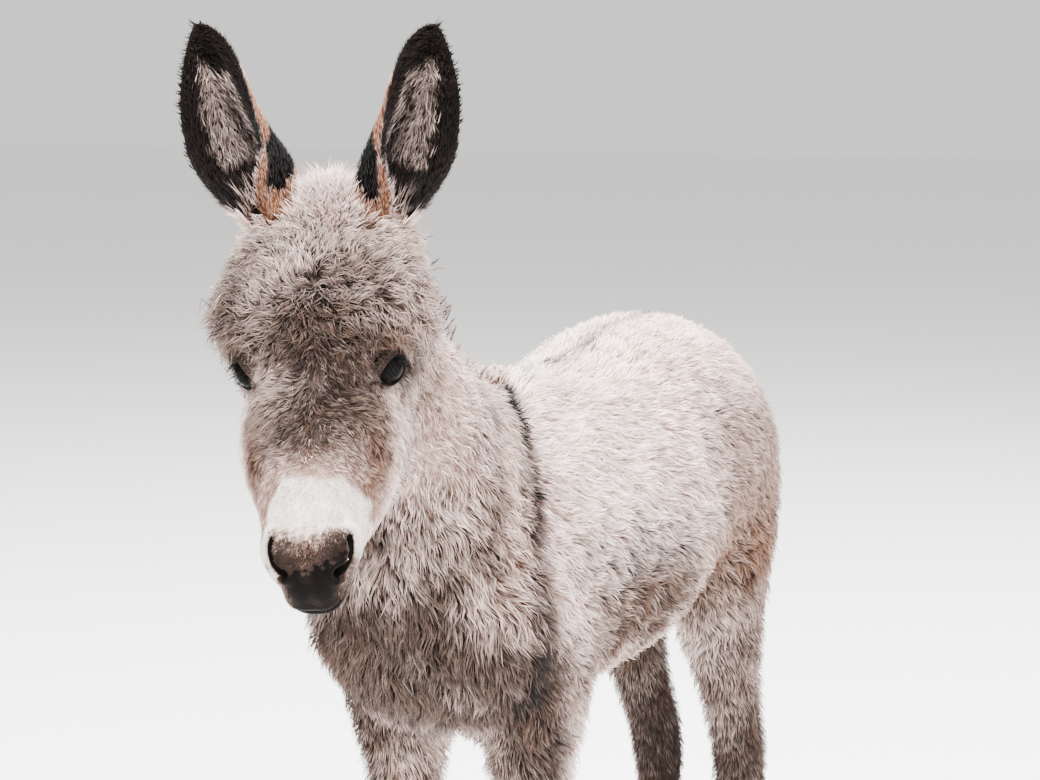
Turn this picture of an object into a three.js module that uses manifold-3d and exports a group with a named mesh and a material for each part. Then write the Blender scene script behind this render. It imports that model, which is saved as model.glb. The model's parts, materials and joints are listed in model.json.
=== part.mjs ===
// A young grey donkey, a foal of a few months in its woolly winter coat, standing square with its head
// turned a little to its left. Millimetres, +Z up, the muzzle towards -Y and its left side towards +X.
// The solids reach to the tips of the coat. The body is modelled whole and parted with thin cuts.
import * as THREE from "three";
import { mergeVertices } from "three/addons/utils/BufferGeometryUtils.js";
import Module from "manifold-3d";

const wasm = await Module();
wasm.setup();

// ---------------------------------------------------------------- driving dimensions

const cutGap = 0.3; // between any two pieces that meet

// heights above the floor
const height = {
  withers: 781,
  back: 785,
  croup: 810,
  sternum: 470,
  belly: 478,
  flank: 520,
  foreCut: 436, // where a foreleg is parted from the trunk
  hindCut: 462,
  knee: 268,
  hock: 305,
  fetlock: 104,
  coronet: 40,
};

// places along the body, front to back
const along = {
  breast: -325,
  shoulder: -245,
  withers: -125,
  back: 15,
  loin: 95,
  croup: 185,
  rump: 262,
  dock: 308,
  buttock: 350,
};

const head = {
  length: 316, // poll to lips
  pitch: 50, // degrees that the nose points below level
  turn: 24, // degrees to its left
  roll: -4,
  poll: new THREE.Vector3(-17, -379, 919), // its own origin
  eyeAt: -131, // along the head
  eyeOut: 50,
  eyeUp: -3,
  eyeRadius: 16,
};

const ear = { length: 158 };

// Where each leg stands: y of its axis, how far its foot is set back, and how far it is moved out.
const stance = {
  foreleg_left: { at: -162, step: 6, out: 0 },
  foreleg_right: { at: -162, step: -4, out: 0 },
  hindleg_left: { at: 262, step: -6, out: -8 },
  hindleg_right: { at: 262, step: 95, out: -8 },
};

// ---------------------------------------------------------------- helpers

const radians = THREE.MathUtils.degToRad;

// A smooth curve through a few [place, size] pairs that never overshoots them.
function profile(pairs) {
  const sorted = [...pairs].sort((a, b) => a[0] - b[0]);
  const x = sorted.map((p) => p[0]);
  const y = sorted.map((p) => p[1]);
  const slopes = x.slice(1).map((_, i) => (y[i + 1] - y[i]) / (x[i + 1] - x[i]));
  const tangents = x.map((_, i) => {
    if (i === 0) return slopes[0];
    if (i === x.length - 1) return slopes[i - 1];
    const [before, after] = [slopes[i - 1], slopes[i]];
    return before * after <= 0 ? 0 : (2 * before * after) / (before + after);
  });
  return (at) => {
    if (at <= x[0]) return y[0];
    if (at >= x[x.length - 1]) return y[y.length - 1];
    const i = x.findIndex((v, k) => at >= v && at < x[k + 1]);
    const span = x[i + 1] - x[i];
    const t = (at - x[i]) / span;
    const t2 = t * t;
    const t3 = t2 * t;
    return (
      (2 * t3 - 3 * t2 + 1) * y[i] +
      (t3 - 2 * t2 + t) * span * tangents[i] +
      (3 * t2 - 2 * t3) * y[i + 1] +
      (t3 - t2) * span * tangents[i + 1]
    );
  };
}

// count places from a to b, closer together near the two ends
function places(a, b, count) {
  const found = [];
  for (let i = 0; i < count; i++) {
    const t = i / (count - 1);
    const eased = 0.65 * t + 0.35 * (0.5 - 0.5 * Math.cos(Math.PI * t));
    found.push(a + (b - a) * eased);
  }
  return found;
}

// One turn of a section in its own plane: [across, up] pairs. The part over the widest level and the part
// under it each have a reach and a squareness, where 2 is an ellipse, more is boxier and less is a ridge.
function section({ wide, over, under, squareOver = 2, squareUnder = 2, count }) {
  const loop = [];
  for (let i = 0; i < count; i++) {
    const angle = (2 * Math.PI * i) / count;
    const [c, s] = [Math.cos(angle), Math.sin(angle)];
    const square = s >= 0 ? squareOver : squareUnder;
    const reach = s >= 0 ? over : under;
    const size = (Math.abs(c) ** square + Math.abs(s) ** square) ** (-1 / square);
    loop.push([wide * c * size, reach * s * size]);
  }
  return loop;
}

// A closed body over rings of equally many points, with a fan at each end.
function bodyOver(rings) {
  const count = rings[0].length;
  const points = rings.flat();
  const triangles = [];
  rings.slice(1).forEach((_, r) => {
    for (let i = 0; i < count; i++) {
      const j = (i + 1) % count;
      const [a, b] = [r * count + i, r * count + j];
      triangles.push(a, b, b + count, a, b + count, a + count);
    }
  });
  [rings[0], rings[rings.length - 1]].forEach((ring, end) => {
    const middle = points.length;
    const sum = ring.reduce((s, p) => s.add(p), new THREE.Vector3());
    points.push(sum.divideScalar(count));
    const start = end * (rings.length - 1) * count;
    for (let i = 0; i < count; i++) {
      const [a, b] = [start + i, start + ((i + 1) % count)];
      triangles.push(...(end ? [a, b, middle] : [b, a, middle]));
    }
  });
  const geometry = new THREE.BufferGeometry().setFromPoints(points);
  geometry.setIndex(triangles);
  return geometry;
}

// A three.js geometry as a solid that can be joined and cut.
function solidOf(geometry) {
  const bare = geometry.clone();
  bare.deleteAttribute("normal");
  bare.deleteAttribute("uv");
  const merged = mergeVertices(bare, 1e-4);
  const solid = new wasm.Manifold(
    new wasm.Mesh({
      numProp: 3,
      vertProperties: new Float32Array(merged.attributes.position.array),
      triVerts: new Uint32Array(merged.index.array),
    }),
  );
  return solid;
}

function geometryOf(solid) {
  const mesh = solid.getMesh();
  const geometry = new THREE.BufferGeometry();
  geometry.setAttribute("position", new THREE.BufferAttribute(mesh.vertProperties, 3));
  geometry.setIndex(new THREE.BufferAttribute(mesh.triVerts, 1));
  return geometry;
}

// Keeps what lies on the side of a plane that its normal points to, less half the gap.
function keep(solid, point, normal) {
  const n = normal.clone().normalize();
  return solid.trimByPlane(n.toArray(), n.dot(point) + cutGap / 2);
}

const mirrored = (solid) => solid.mirror([1, 0, 0]);

// Cutting can leave a sliver beside the piece itself.
const biggest = (solid) => solid.decompose().sort((a, b) => b.volume() - a.volume())[0];

// ---------------------------------------------------------------- trunk

const trunkTop = profile([
  [along.breast, 622],
  [along.breast + 25, 672],
  [along.shoulder, 722],
  [along.withers - 45, 770],
  [along.withers, height.withers],
  [along.back, height.back],
  [along.loin, 804],
  [along.croup, height.croup],
  [along.rump, 794],
  [along.dock, 760],
  [along.buttock - 12, 708],
  [along.buttock, 668],
]);
const trunkBottom = profile([
  [along.breast, 556],
  [along.breast + 25, 508],
  [along.shoulder, 468],
  [along.withers, height.sternum],
  [along.back, height.belly],
  [55, 494],
  [along.loin, height.flank - 8],
  [along.croup, 526],
  [along.dock, 530],
  [along.buttock, 590],
]);
const trunkWide = profile([
  [along.breast, 44],
  [along.breast + 25, 104],
  [along.shoulder, 118],
  [along.withers, 119],
  [along.back, 134],
  [55, 139],
  [along.loin, 137],
  [along.croup, 133],
  [along.rump, 126],
  [along.dock, 104],
  [along.buttock - 12, 68],
  [along.buttock, 30],
]);
const trunkWidest = profile([
  [along.breast, 586],
  [along.withers, 575],
  [along.back, 580],
  [along.loin, 625],
  [along.croup, 655],
  [along.buttock, 630],
]);
const trunkRidge = profile([
  [along.breast, 2],
  [along.withers, 1.7],
  [along.back, 1.95],
  [along.croup, 2.1],
  [along.buttock, 2],
]);

function trunkLoft(grow = 0) {
  const rings = places(along.breast - grow, along.buttock + grow, 21).map((y) => {
    const widest = trunkWidest(y);
    const loop = section({
      wide: trunkWide(y) + grow,
      over: trunkTop(y) - widest + grow,
      under: widest - trunkBottom(y) + grow,
      squareOver: trunkRidge(y),
      squareUnder: 2.2,
      count: 24,
    });
    return loop.map(([x, z]) => new THREE.Vector3(-x, y, widest + z));
  });
  return solidOf(bodyOver(rings));
}

// ---------------------------------------------------------------- legs
// Each line gives, for some heights, where one side of a leg runs: front and rear from its axis,
// inner and outer from the middle of the body.

const foreleg = {
  front: profile([
    [700, -40],
    [640, -92],
    [560, -112],
    [510, -104],
    [466, -86],
    [426, -72],
    [380, -64],
    [330, -58],
    [height.knee + 12, -60],
    [height.knee - 12, -60],
    [232, -50],
    [180, -46],
    [130, -46],
    [height.fetlock, -51],
    [78, -58],
    [58, -66],
    [height.coronet, -74],
    [20, -76],
  ]),
  rear: profile([
    [700, 20],
    [640, 58],
    [560, 66],
    [510, 60],
    [466, 46],
    [426, 34],
    [380, 22],
    [330, 14],
    [height.knee + 12, 10],
    [height.knee - 12, 10],
    [232, 6],
    [180, 6],
    [130, 7],
    [height.fetlock, 11],
    [78, 0],
    [58, -12],
    [height.coronet, -12],
    [20, -12],
  ]),
  inner: profile([
    [700, 20],
    [560, 14],
    [466, 17],
    [380, 29],
    [330, 33],
    [height.knee, 32],
    [180, 38],
    [height.fetlock, 33],
    [60, 37],
    [height.coronet, 33],
  ]),
  outer: profile([
    [700, 66],
    [640, 100],
    [560, 119],
    [510, 118],
    [466, 110],
    [380, 95],
    [330, 88],
    [height.knee, 89],
    [180, 83],
    [height.fetlock, 87],
    [60, 84],
    [height.coronet, 89],
  ]),
  top: 706,
  bottom: 24,
};

const hindleg = {
  front: profile([
    [740, -46],
    [680, -88],
    [600, -106],
    [540, -104],
    [505, -94],
    [height.hindCut, -74],
    [430, -50],
    [380, -18],
    [340, 4],
    [height.hock - 10, 17],
    [260, 25],
    [200, 29],
    [140, 29],
    [height.fetlock, 23],
    [80, 13],
    [58, 2],
    [height.coronet, -6],
    [20, -8],
  ]),
  rear: profile([
    [740, 20],
    [680, 62],
    [600, 70],
    [540, 66],
    [height.hindCut, 64],
    [430, 68],
    [380, 82],
    [340, 98],
    [height.hock, 105],
    [275, 97],
    [240, 84],
    [200, 79],
    [140, 78],
    [height.fetlock, 83],
    [80, 71],
    [58, 58],
    [height.coronet, 58],
    [20, 58],
  ]),
  inner: profile([
    [740, 30],
    [600, 14],
    [540, 14],
    [height.hindCut, 20],
    [430, 28],
    [380, 34],
    [height.hock, 36],
    [200, 44],
    [height.fetlock, 38],
    [60, 42],
    [height.coronet, 38],
  ]),
  outer: profile([
    [740, 84],
    [680, 124],
    [600, 128],
    [540, 122],
    [height.hindCut, 110],
    [430, 106],
    [380, 99],
    [height.hock, 95],
    [200, 92],
    [height.fetlock, 94],
    [60, 92],
    [height.coronet, 94],
  ]),
  top: 746,
  bottom: 24,
};

// A leg from level sections, on the left side of the body.
function legLoft(leg, { at, step, out }) {
  const rings = places(leg.bottom, leg.top, 19).map((z) => {
    const [y0, y1, x0, x1] = [leg.front(z), leg.rear(z), leg.inner(z), leg.outer(z)];
    const free = 1 - z / leg.top;
    const loop = section({
      wide: (x1 - x0) / 2,
      over: (y1 - y0) / 2,
      under: (y1 - y0) / 2,
      squareOver: 2.1,
      squareUnder: 2.1,
      count: 14,
    });
    const centre = new THREE.Vector3((x0 + x1) / 2 + out * free, (y0 + y1) / 2 + at + step * free, z);
    return loop.map(([x, y]) => centre.clone().add(new THREE.Vector3(x, y, 0)));
  });
  return solidOf(bodyOver(rings));
}

// A hoof: boxy and upright, wider at the sole, cut flat below.
const hoof = {
  levels: [
    { z: 0, toe: -90, heel: -14, wide: 29 },
    { z: 5, toe: -89, heel: -14, wide: 29.5 },
    { z: 22, toe: -81, heel: -15, wide: 27.5 },
    { z: 44, toe: -71, heel: -18, wide: 24.5 },
  ],
  behind: 68, // how much further back it is on a hind leg
};

function hoofLoft(leg, { at, step, out }) {
  const back = at + step * 0.95 + (leg === hindleg ? hoof.behind : 0);
  const middle = (leg.inner(height.coronet) + leg.outer(height.coronet)) / 2 + out * 0.95;
  const rings = hoof.levels.map(({ z, toe, heel, wide }) => {
    const long = heel - toe;
    const loop = section({
      wide,
      over: long * 0.42,
      under: long * 0.58,
      squareOver: 3,
      squareUnder: 2.1,
      count: 18,
    });
    return loop.map(([x, y]) => new THREE.Vector3(middle + x, back + toe + long * 0.58 + y, z));
  });
  return solidOf(bodyOver(rings));
}

// ---------------------------------------------------------------- neck
// The crest and the throat are two lines in the middle plane. Each section spans from one to the other.

const line = (points) => new THREE.CatmullRomCurve3(points.map((p) => new THREE.Vector3(...p)));
const crest = line([
  [0, -60, 752],
  [0, -148, 776],
  [0, -205, 794],
  [-4, -260, 836],
  [-10, -316, 894],
  [-16, -376, 946],
]);
const throat = line([
  [0, -255, 505],
  [0, -343, 588],
  [0, -362, 656],
  [-4, -380, 722],
  [-10, -398, 778],
  [-16, -408, 830],
]);
const neckWide = profile([[0, 62], [0.2, 91], [0.45, 86], [0.7, 69], [1, 54]]);

function neckLoft(grow = 0) {
  const rings = places(0, 1, 15).map((t) => {
    const [high, low] = [crest.getPoint(t), throat.getPoint(t)];
    const axis = high.clone().sub(low);
    const long = axis.length();
    axis.normalize();
    const centre = low.clone().lerp(high, 0.46);
    const loop = section({
      wide: neckWide(t) + grow,
      over: long * 0.54 + grow,
      under: long * 0.46 + grow,
      squareOver: 1.65,
      squareUnder: 2.1,
      count: 22,
    });
    return loop.map(([x, z]) => new THREE.Vector3(x, 0, 0).add(centre).addScaledVector(axis, z));
  });
  return solidOf(bodyOver(rings));
}

// A round body along a curve.
function cordLoft({ spine, radius, count, steps }) {
  const rings = places(0, 1, steps).map((t) => {
    const centre = spine.getPointAt(t);
    const ahead = spine.getTangentAt(t);
    const side = new THREE.Vector3(1, 0, 0).addScaledVector(ahead, -ahead.x).normalize();
    const over = new THREE.Vector3().crossVectors(ahead, side);
    const loop = section({ wide: radius(t), over: radius(t), under: radius(t), count });
    return loop.map(([x, z]) =>
      centre.clone().addScaledVector(side, x).addScaledVector(over, z),
    );
  });
  return solidOf(bodyOver(rings));
}

// ---------------------------------------------------------------- head, in its own frame
// The poll is its origin, the nose points along -Y, the forehead is up and the left side is +X.

const headTop = profile([
  [28, -12],
  [12, 20],
  [-14, 42],
  [-52, 54],
  [-92, 52],
  [-124, 40],
  [-160, 26],
  [-196, 15],
  [-232, 8],
  [-264, 3],
  [-288, -5],
  [-306, -18],
  [-head.length, -36],
]);
const headBottom = profile([
  [28, -74],
  [0, -106],
  [-40, -134],
  [-84, -132],
  [-130, -124],
  [-172, -110],
  [-212, -97],
  [-250, -88],
  [-278, -88],
  [-302, -82],
  [-head.length, -56],
]);
const headWide = profile([
  [28, 46],
  [0, 70],
  [-36, 82],
  [-78, 92],
  [-104, 84],
  [-124, 67],
  [-160, 61],
  [-198, 58],
  [-232, 50],
  [-262, 38],
  [-290, 33],
  [-306, 23],
  [-head.length, 14],
]);
const headWidest = profile([
  [28, -38],
  [0, -30],
  [-80, 0],
  [-128, -22],
  [-180, -38],
  [-240, -36],
  [-280, -40],
  [-head.length, -46],
]);
const headFlat = profile([
  [28, 2],
  [-36, 2.8],
  [-80, 2.3],
  [-128, 2.7],
  [-180, 2.5],
  [-240, 2.1],
  [-head.length, 2],
]);

// Swellings and hollows of the head: where, how far round, and how far out, on both sides.
const headForms = {
  brow: { at: [80, -102, 2], reach: 24, out: 12 },
  socket: { at: [63, -139, 6], reach: 22, out: -12 },
  underBrow: { at: [84, -108, -50], reach: 28, out: -13 },
  cheek: { at: [58, -88, -76], reach: 42, out: 9 },
  jaw: { at: [46, -178, -84], reach: 42, out: 16 },
  faceRidge: { at: [55, -170, -30], reach: 26, out: 4 },
  hollowNose: { at: [42, -224, -30], reach: 26, out: -3 },
  nostril: { at: [34, -276, -24], reach: 20, out: 5 },
  lip: { at: [24, -299, -56], reach: 20, out: 4 },
  chin: { at: [10, -288, -86], reach: 22, out: 5 },
  throat: { at: [20, -64, -134], reach: 36, out: -10 },
};

function headLoft(grow = 0, steps = 24, count = 26) {
  const rings = places(28 + grow, -head.length - grow, steps).map((y) => {
    const widest = headWidest(y);
    const loop = section({
      wide: headWide(y) + grow,
      over: headTop(y) - widest + grow,
      under: widest - headBottom(y) + grow,
      squareOver: headFlat(y),
      squareUnder: 2.5,
      count,
    });
    return loop.map(([x, z]) => {
      const point = new THREE.Vector3(x, y, widest + z);
      const outward = new THREE.Vector3(x, 0, z).normalize();
      const moved = Object.values(headForms).reduce((sum, form) => {
        const away = point.distanceTo(
          new THREE.Vector3(Math.sign(x || 1) * form.at[0], form.at[1], form.at[2]),
        );
        return sum + form.out * Math.exp(-((away / form.reach) ** 2));
      }, 0);
      return point.addScaledVector(outward, moved);
    });
  });
  return solidOf(bodyOver(rings));
}

function ball(radius, at, scale = [1, 1, 1], turn = [0, 0, 0], detail = 14) {
  const geometry = new THREE.SphereGeometry(radius, detail, detail * 0.6);
  const place = new THREE.Matrix4().compose(
    new THREE.Vector3(...at),
    new THREE.Quaternion().setFromEuler(new THREE.Euler(...turn.map(radians))),
    new THREE.Vector3(...scale),
  );
  return solidOf(geometry.applyMatrix4(place));
}

const eyePlace = [head.eyeOut, head.eyeAt, head.eyeUp];
// the tuft of hair that stands between the ears
const forelock = { at: [2, 4, 34], size: [20, 22, 36], turn: [-40, 0, 0] };
const nostril = { at: [27, -294, -17], size: [6, 12, 12], turn: [-18, 8, 30] };
const mouth = { level: -62, slope: -3, depth: 5, gap: 2, back: -248 };

function mouthGroove() {
  const slab = new THREE.BoxGeometry(140, 120, mouth.gap);
  slab.applyMatrix4(
    new THREE.Matrix4()
      .makeRotationX(radians(mouth.slope))
      .setPosition(0, mouth.back - 60, mouth.level),
  );
  return solidOf(slab).subtract(headLoft(-mouth.depth, 12, 14));
}

function headSolid() {
  const hollow = ball(1, nostril.at, nostril.size, nostril.turn, 12);
  const socket = ball(head.eyeRadius + cutGap, eyePlace);
  return [hollow, socket]
    .flatMap((solid) => [solid, mirrored(solid)])
    .concat(mouthGroove())
    .reduce((solid, cut) => solid.subtract(cut), headLoft());
}

// ---------------------------------------------------------------- ears

const earRadius = profile([
  [0, 26],
  [0.12, 30],
  [0.4, 36],
  [0.62, 34.5],
  [0.75, 31],
  [0.86, 26],
  [0.95, 17],
  [1, 8],
]);
const earSpan = profile([[0, 165], [0.12, 145], [0.3, 112], [0.5, 92], [0.75, 78], [1, 62]]);
const earWall = profile([[0, 9], [0.5, 7], [1, 4]]);

// A deep spoon that is rolled into a tube at its root. It stands on +Z and opens towards -Y. The bulge is
// the woolly swelling of its lower back, on the side that faces the other ear.
function earLoft({ bow, bulge, inward }, steps = 12, around = 9) {
  const rings = places(-0.08, 1, steps).map((t) => {
    const half = radians(earSpan(t));
    const lean = 8 * Math.sin(Math.PI * t);
    const aside = bow * Math.sin(Math.PI * t);
    const swelling = bulge * Math.exp(-(((t - 0.2) / 0.16) ** 2));
    const arc = (thick, from, to) =>
      Array.from({ length: around }, (_, i) => {
        const angle = from + ((to - from) * i) / (around - 1);
        const facing = 0.5 + 0.5 * Math.cos(angle - inward * radians(55));
        const r = earRadius(t) - thick + swelling * facing;
        const [x, y] = [r * Math.sin(angle) + aside, r * Math.cos(angle) + lean - 6];
        return new THREE.Vector3(x, y, t * ear.length);
      });
    return [...arc(0, half, -half), ...arc(earWall(t), -half, half)];
  });
  return solidOf(closedStrip(rings, around));
}

// A closed body over rings that each run out along one arc and back along another.
function closedStrip(rings, around) {
  const count = 2 * around;
  const points = rings.flat();
  const triangles = [];
  rings.slice(1).forEach((_, r) => {
    for (let i = 0; i < count; i++) {
      const j = (i + 1) % count;
      const [a, b] = [r * count + i, r * count + j];
      triangles.push(a, b, b + count, a, b + count, a + count);
    }
  });
  const last = (rings.length - 1) * count;
  for (let i = 0; i < around - 1; i++) {
    const [a, b, c, d] = [i, i + 1, count - 2 - i, count - 1 - i];
    triangles.push(b, a, d, b, d, c);
    triangles.push(last + a, last + b, last + d, last + b, last + c, last + d);
  }
  const geometry = new THREE.BufferGeometry().setFromPoints(points);
  geometry.setIndex(triangles);
  return geometry;
}

// splay leans it out, tip leans it forward, face turns its opening out
const earSet = {
  left: { root: [36, 3, 10], splay: 17.5, tip: 2, face: 40, bow: 20, bulge: 4, inward: -1 },
  right: { root: [-42, 8, 16], splay: -21.5, tip: 3, face: -27, bow: -22, bulge: 8, inward: 1 },
};

const turnMatrix = new THREE.Matrix4().makeRotationZ(radians(head.turn));
const headMatrix = new THREE.Matrix4()
  .makeTranslation(head.poll.x, head.poll.y, head.poll.z)
  .multiply(turnMatrix)
  .multiply(new THREE.Matrix4().makeRotationX(radians(head.pitch)))
  .multiply(new THREE.Matrix4().makeRotationY(radians(head.roll)));
const inHeadFrame = (solid) => solid.transform(headMatrix.elements);

function earPlaced({ root, splay, tip, face, ...shape }) {
  const at = new THREE.Vector3(...root).applyMatrix4(headMatrix);
  const place = new THREE.Matrix4()
    .makeTranslation(at.x, at.y, at.z)
    .multiply(turnMatrix)
    .multiply(new THREE.Matrix4().makeRotationY(radians(splay)))
    .multiply(new THREE.Matrix4().makeRotationX(radians(tip)))
    .multiply(new THREE.Matrix4().makeRotationZ(radians(face)));
  return earLoft(shape).transform(place.elements);
}

// ---------------------------------------------------------------- tail and mane

const tailSpine = line([
  [0, 285, 752],
  [0, 332, 736],
  [8, 364, 672],
  [26, 368, 575],
  [38, 364, 485],
  [42, 356, 400],
]);
const tailRadius = profile([[0, 20], [0.15, 23], [0.45, 18], [0.62, 20], [0.8, 23], [0.93, 16], [1, 5]]);
const tailLoft = () => cordLoft({ spine: tailSpine, radius: tailRadius, count: 12, steps: 16 });
const switchAt = 560; // below this height the tail is a brush of long hair

// A standing ridge of hair along the crest: its middle line, its height over that line, its half width.
const maneHigh = profile([[0, 4], [0.12, 9], [0.4, 17], [0.8, 26], [0.93, 24], [1, 8]]);
const maneWide = profile([[0, 8], [0.3, 15], [0.8, 19], [1, 10]]);

function maneLoft(grow = 0) {
  const rings = places(0.3, 1.0, 12).map((t) => {
    const [high, low] = [crest.getPoint(t), throat.getPoint(t)];
    const axis = high.clone().sub(low).normalize();
    const u = (t - 0.3) / 0.7;
    const loop = section({
      wide: maneWide(u) + grow,
      over: maneHigh(u) + grow,
      under: 24,
      squareOver: 2.4,
      count: 12,
    });
    return loop.map(([x, z]) => new THREE.Vector3(x, 0, 0).add(high).addScaledVector(axis, z));
  });
  return solidOf(bodyOver(rings));
}

// ---------------------------------------------------------------- parting the body

const up = new THREE.Vector3(0, 0, 1);
const down = up.clone().negate();

const headWorld = inHeadFrame(headSolid());
const headGrown = inHeadFrame(headLoft(cutGap));
const trunkGrown = trunkLoft(cutGap);
const neckGrown = neckLoft(cutGap);

const colours = {
  coat: 0xb3a59b,
  head: 0x8d7a6e,
  ear: 0x4a3a33,
  hoof: 0x4b443e,
  eye: 0x14100e,
  mane: 0x8a776c,
  brush: 0x4a413c,
};

const root = new THREE.Group();
function add(name, solid, colour, roughness = 0.95) {
  const material = new THREE.MeshStandardMaterial({ color: colour, roughness, metalness: 0 });
  const mesh = new THREE.Mesh(geometryOf(solid), material);
  mesh.name = name;
  root.add(mesh);
}

// What lies over the cut of a leg belongs to the trunk, and its hoof starts at a sloping coronet.
let trunk = trunkLoft();
const lowerLegs = {};
for (const [name, where] of Object.entries(stance)) {
  const fore = name.startsWith("fore");
  const leg = fore ? foreleg : hindleg;
  const turned = (solid) => (name.endsWith("left") ? solid : mirrored(solid));
  const whole = turned(legLoft(leg, where));
  const level = new THREE.Vector3(0, 0, fore ? height.foreCut : height.hindCut);
  const ankle = new THREE.Vector3(0, where.at + where.step * 0.95 + (fore ? -72 : -4), height.coronet - 2);
  const slope = new THREE.Vector3(0, 0.3, 1);
  trunk = trunk.add(keep(whole, level, up));
  lowerLegs[name] = keep(keep(whole, level, down), ankle, slope).subtract(trunkGrown);
  add("hoof_" + name, keep(turned(hoofLoft(leg, where)), ankle, slope.negate()), colours.hoof, 0.6);
}
for (const [name, solid] of Object.entries(lowerLegs)) add(name, solid, colours.coat);

const neckBase = new THREE.Vector3(0, -168, 782);
const neckAhead = new THREE.Vector3(0, -0.9, 0.43);
const joined = trunk.add(neckLoft());
const neckPart = biggest(keep(joined, neckBase, neckAhead).subtract(headGrown));
add("trunk", keep(joined, neckBase, neckAhead.clone().negate()), colours.coat);
add("neck", neckPart, colours.coat);
const maneGrown = maneLoft(cutGap);
const overNeck = maneLoft().subtract(neckGrown).subtract(headGrown).subtract(trunkGrown);
add("mane", biggest(overNeck), colours.mane);
add("head", headWorld, colours.head);
const tuftBall = (grow) =>
  inHeadFrame(ball(1, forelock.at, forelock.size.map((v) => v + grow), forelock.turn, 10));
const tuft = tuftBall(0);
const tuftGrown = tuftBall(cutGap);
add("forelock", tuft.subtract(headGrown).subtract(neckGrown).subtract(maneGrown), colours.mane);

const eye = ball(head.eyeRadius, eyePlace);
add("eye_left", inHeadFrame(eye), colours.eye, 0.1);
add("eye_right", inHeadFrame(mirrored(eye)), colours.eye, 0.1);
for (const [side, set] of Object.entries(earSet)) {
  const standing = earPlaced(set).subtract(headGrown).subtract(neckGrown);
  add("ear_" + side, biggest(standing.subtract(tuftGrown)), colours.ear);
}

const tail = tailLoft().subtract(trunkGrown);
const parting = new THREE.Vector3(0, 0, switchAt);
add("tail", keep(tail, parting, up), colours.coat);
add("tail_brush", keep(tail, parting, down), colours.brush);

// The middle of the part's own box stands over the origin.
const box = new THREE.Box3().setFromObject(root);
const middle = box.getCenter(new THREE.Vector3());
for (const mesh of root.children) mesh.geometry.translate(-middle.x, -middle.y, -box.min.z);

export default root;
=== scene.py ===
import json
import math

import bmesh
import bpy
import numpy as np
from mathutils import Matrix, Vector
from mathutils.kdtree import KDTree

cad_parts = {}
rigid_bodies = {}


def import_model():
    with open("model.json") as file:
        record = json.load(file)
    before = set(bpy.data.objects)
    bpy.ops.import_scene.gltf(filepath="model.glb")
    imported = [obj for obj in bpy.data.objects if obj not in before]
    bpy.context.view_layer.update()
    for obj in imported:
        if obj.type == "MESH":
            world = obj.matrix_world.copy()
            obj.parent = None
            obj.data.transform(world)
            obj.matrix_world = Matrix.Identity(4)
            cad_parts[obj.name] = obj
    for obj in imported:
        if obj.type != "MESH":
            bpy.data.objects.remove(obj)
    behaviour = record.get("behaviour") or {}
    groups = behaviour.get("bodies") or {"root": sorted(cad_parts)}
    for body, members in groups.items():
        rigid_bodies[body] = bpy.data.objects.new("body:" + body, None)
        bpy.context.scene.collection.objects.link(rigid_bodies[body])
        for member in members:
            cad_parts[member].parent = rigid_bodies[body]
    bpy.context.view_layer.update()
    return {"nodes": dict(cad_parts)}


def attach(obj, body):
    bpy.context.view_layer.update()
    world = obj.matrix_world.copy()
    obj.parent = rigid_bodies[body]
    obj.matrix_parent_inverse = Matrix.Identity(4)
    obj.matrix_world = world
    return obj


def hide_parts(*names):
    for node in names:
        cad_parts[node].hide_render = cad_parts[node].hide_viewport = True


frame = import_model()
dice = np.random.default_rng(7)

# The head's own frame: the poll is its origin, the nose points along -Y, the left side is +X.
headPlace = {"poll": (-0.017, -0.3159, 0.919), "turn": 24, "pitch": 50, "roll": -4}
headTurn = (
    Matrix.Rotation(math.radians(headPlace["turn"]), 3, "Z")
    @ Matrix.Rotation(math.radians(headPlace["pitch"]), 3, "X")
    @ Matrix.Rotation(math.radians(headPlace["roll"]), 3, "Y")
)
headAxes = np.array(headTurn)
poll = np.array(headPlace["poll"])


def toHead(points):
    return (points - poll) @ headAxes


def fromHead(points):
    return np.asarray(points, float) @ headAxes.T + poll


def clamp(value):
    return np.clip(value, 0, 1)


def ease(value, low, high):
    t = clamp((np.asarray(value, float) - low) / (high - low))
    return t * t * (3 - 2 * t)


def unit(vectors):
    return vectors / (np.linalg.norm(vectors, axis=-1, keepdims=True) + 1e-12)


def bump(points, centre, reach):
    return np.exp(-(((points - np.array(centre)) / np.array(reach)) ** 2).sum(-1))


def bell(value, wide):
    return np.exp(-((value / wide) ** 2))


def mix(first, second, share):
    return first * (1 - share) + second * share


def between(value, places, sizes):
    return np.interp(value, places, sizes)


def mirrored(q):
    # both halves of the head laid on its left half
    return np.stack([np.abs(q[:, 0]), q[:, 1], q[:, 2]], -1)


def plain(points, value=0.0):
    return np.full(len(points), value)


def link(obj):
    bpy.context.scene.collection.objects.link(obj)
    return obj


def meshFrom(name, points, faces, sides):
    mesh = bpy.data.meshes.new(name)
    mesh.vertices.add(len(points))
    mesh.vertices.foreach_set("co", np.asarray(points, np.float32).ravel())
    mesh.loops.add(len(faces) * sides)
    mesh.loops.foreach_set("vertex_index", np.asarray(faces, np.int32).ravel())
    mesh.polygons.add(len(faces))
    mesh.polygons.foreach_set("loop_start", np.arange(len(faces), dtype=np.int32) * sides)
    mesh.update(calc_edges=True)
    mesh.validate()
    return mesh


def read(data, key, wide=3):
    out = np.empty(len(data) * wide, np.float32)
    data.foreach_get(key, out)
    return out.reshape(-1, wide).astype(float)


def coordsOf(mesh):
    return read(mesh.vertices, "co")


def setCoords(mesh, points):
    mesh.vertices.foreach_set("co", points.astype(np.float32).ravel())
    mesh.update()


def normalsOf(mesh):
    return read(mesh.vertex_normals, "vector")


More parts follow.
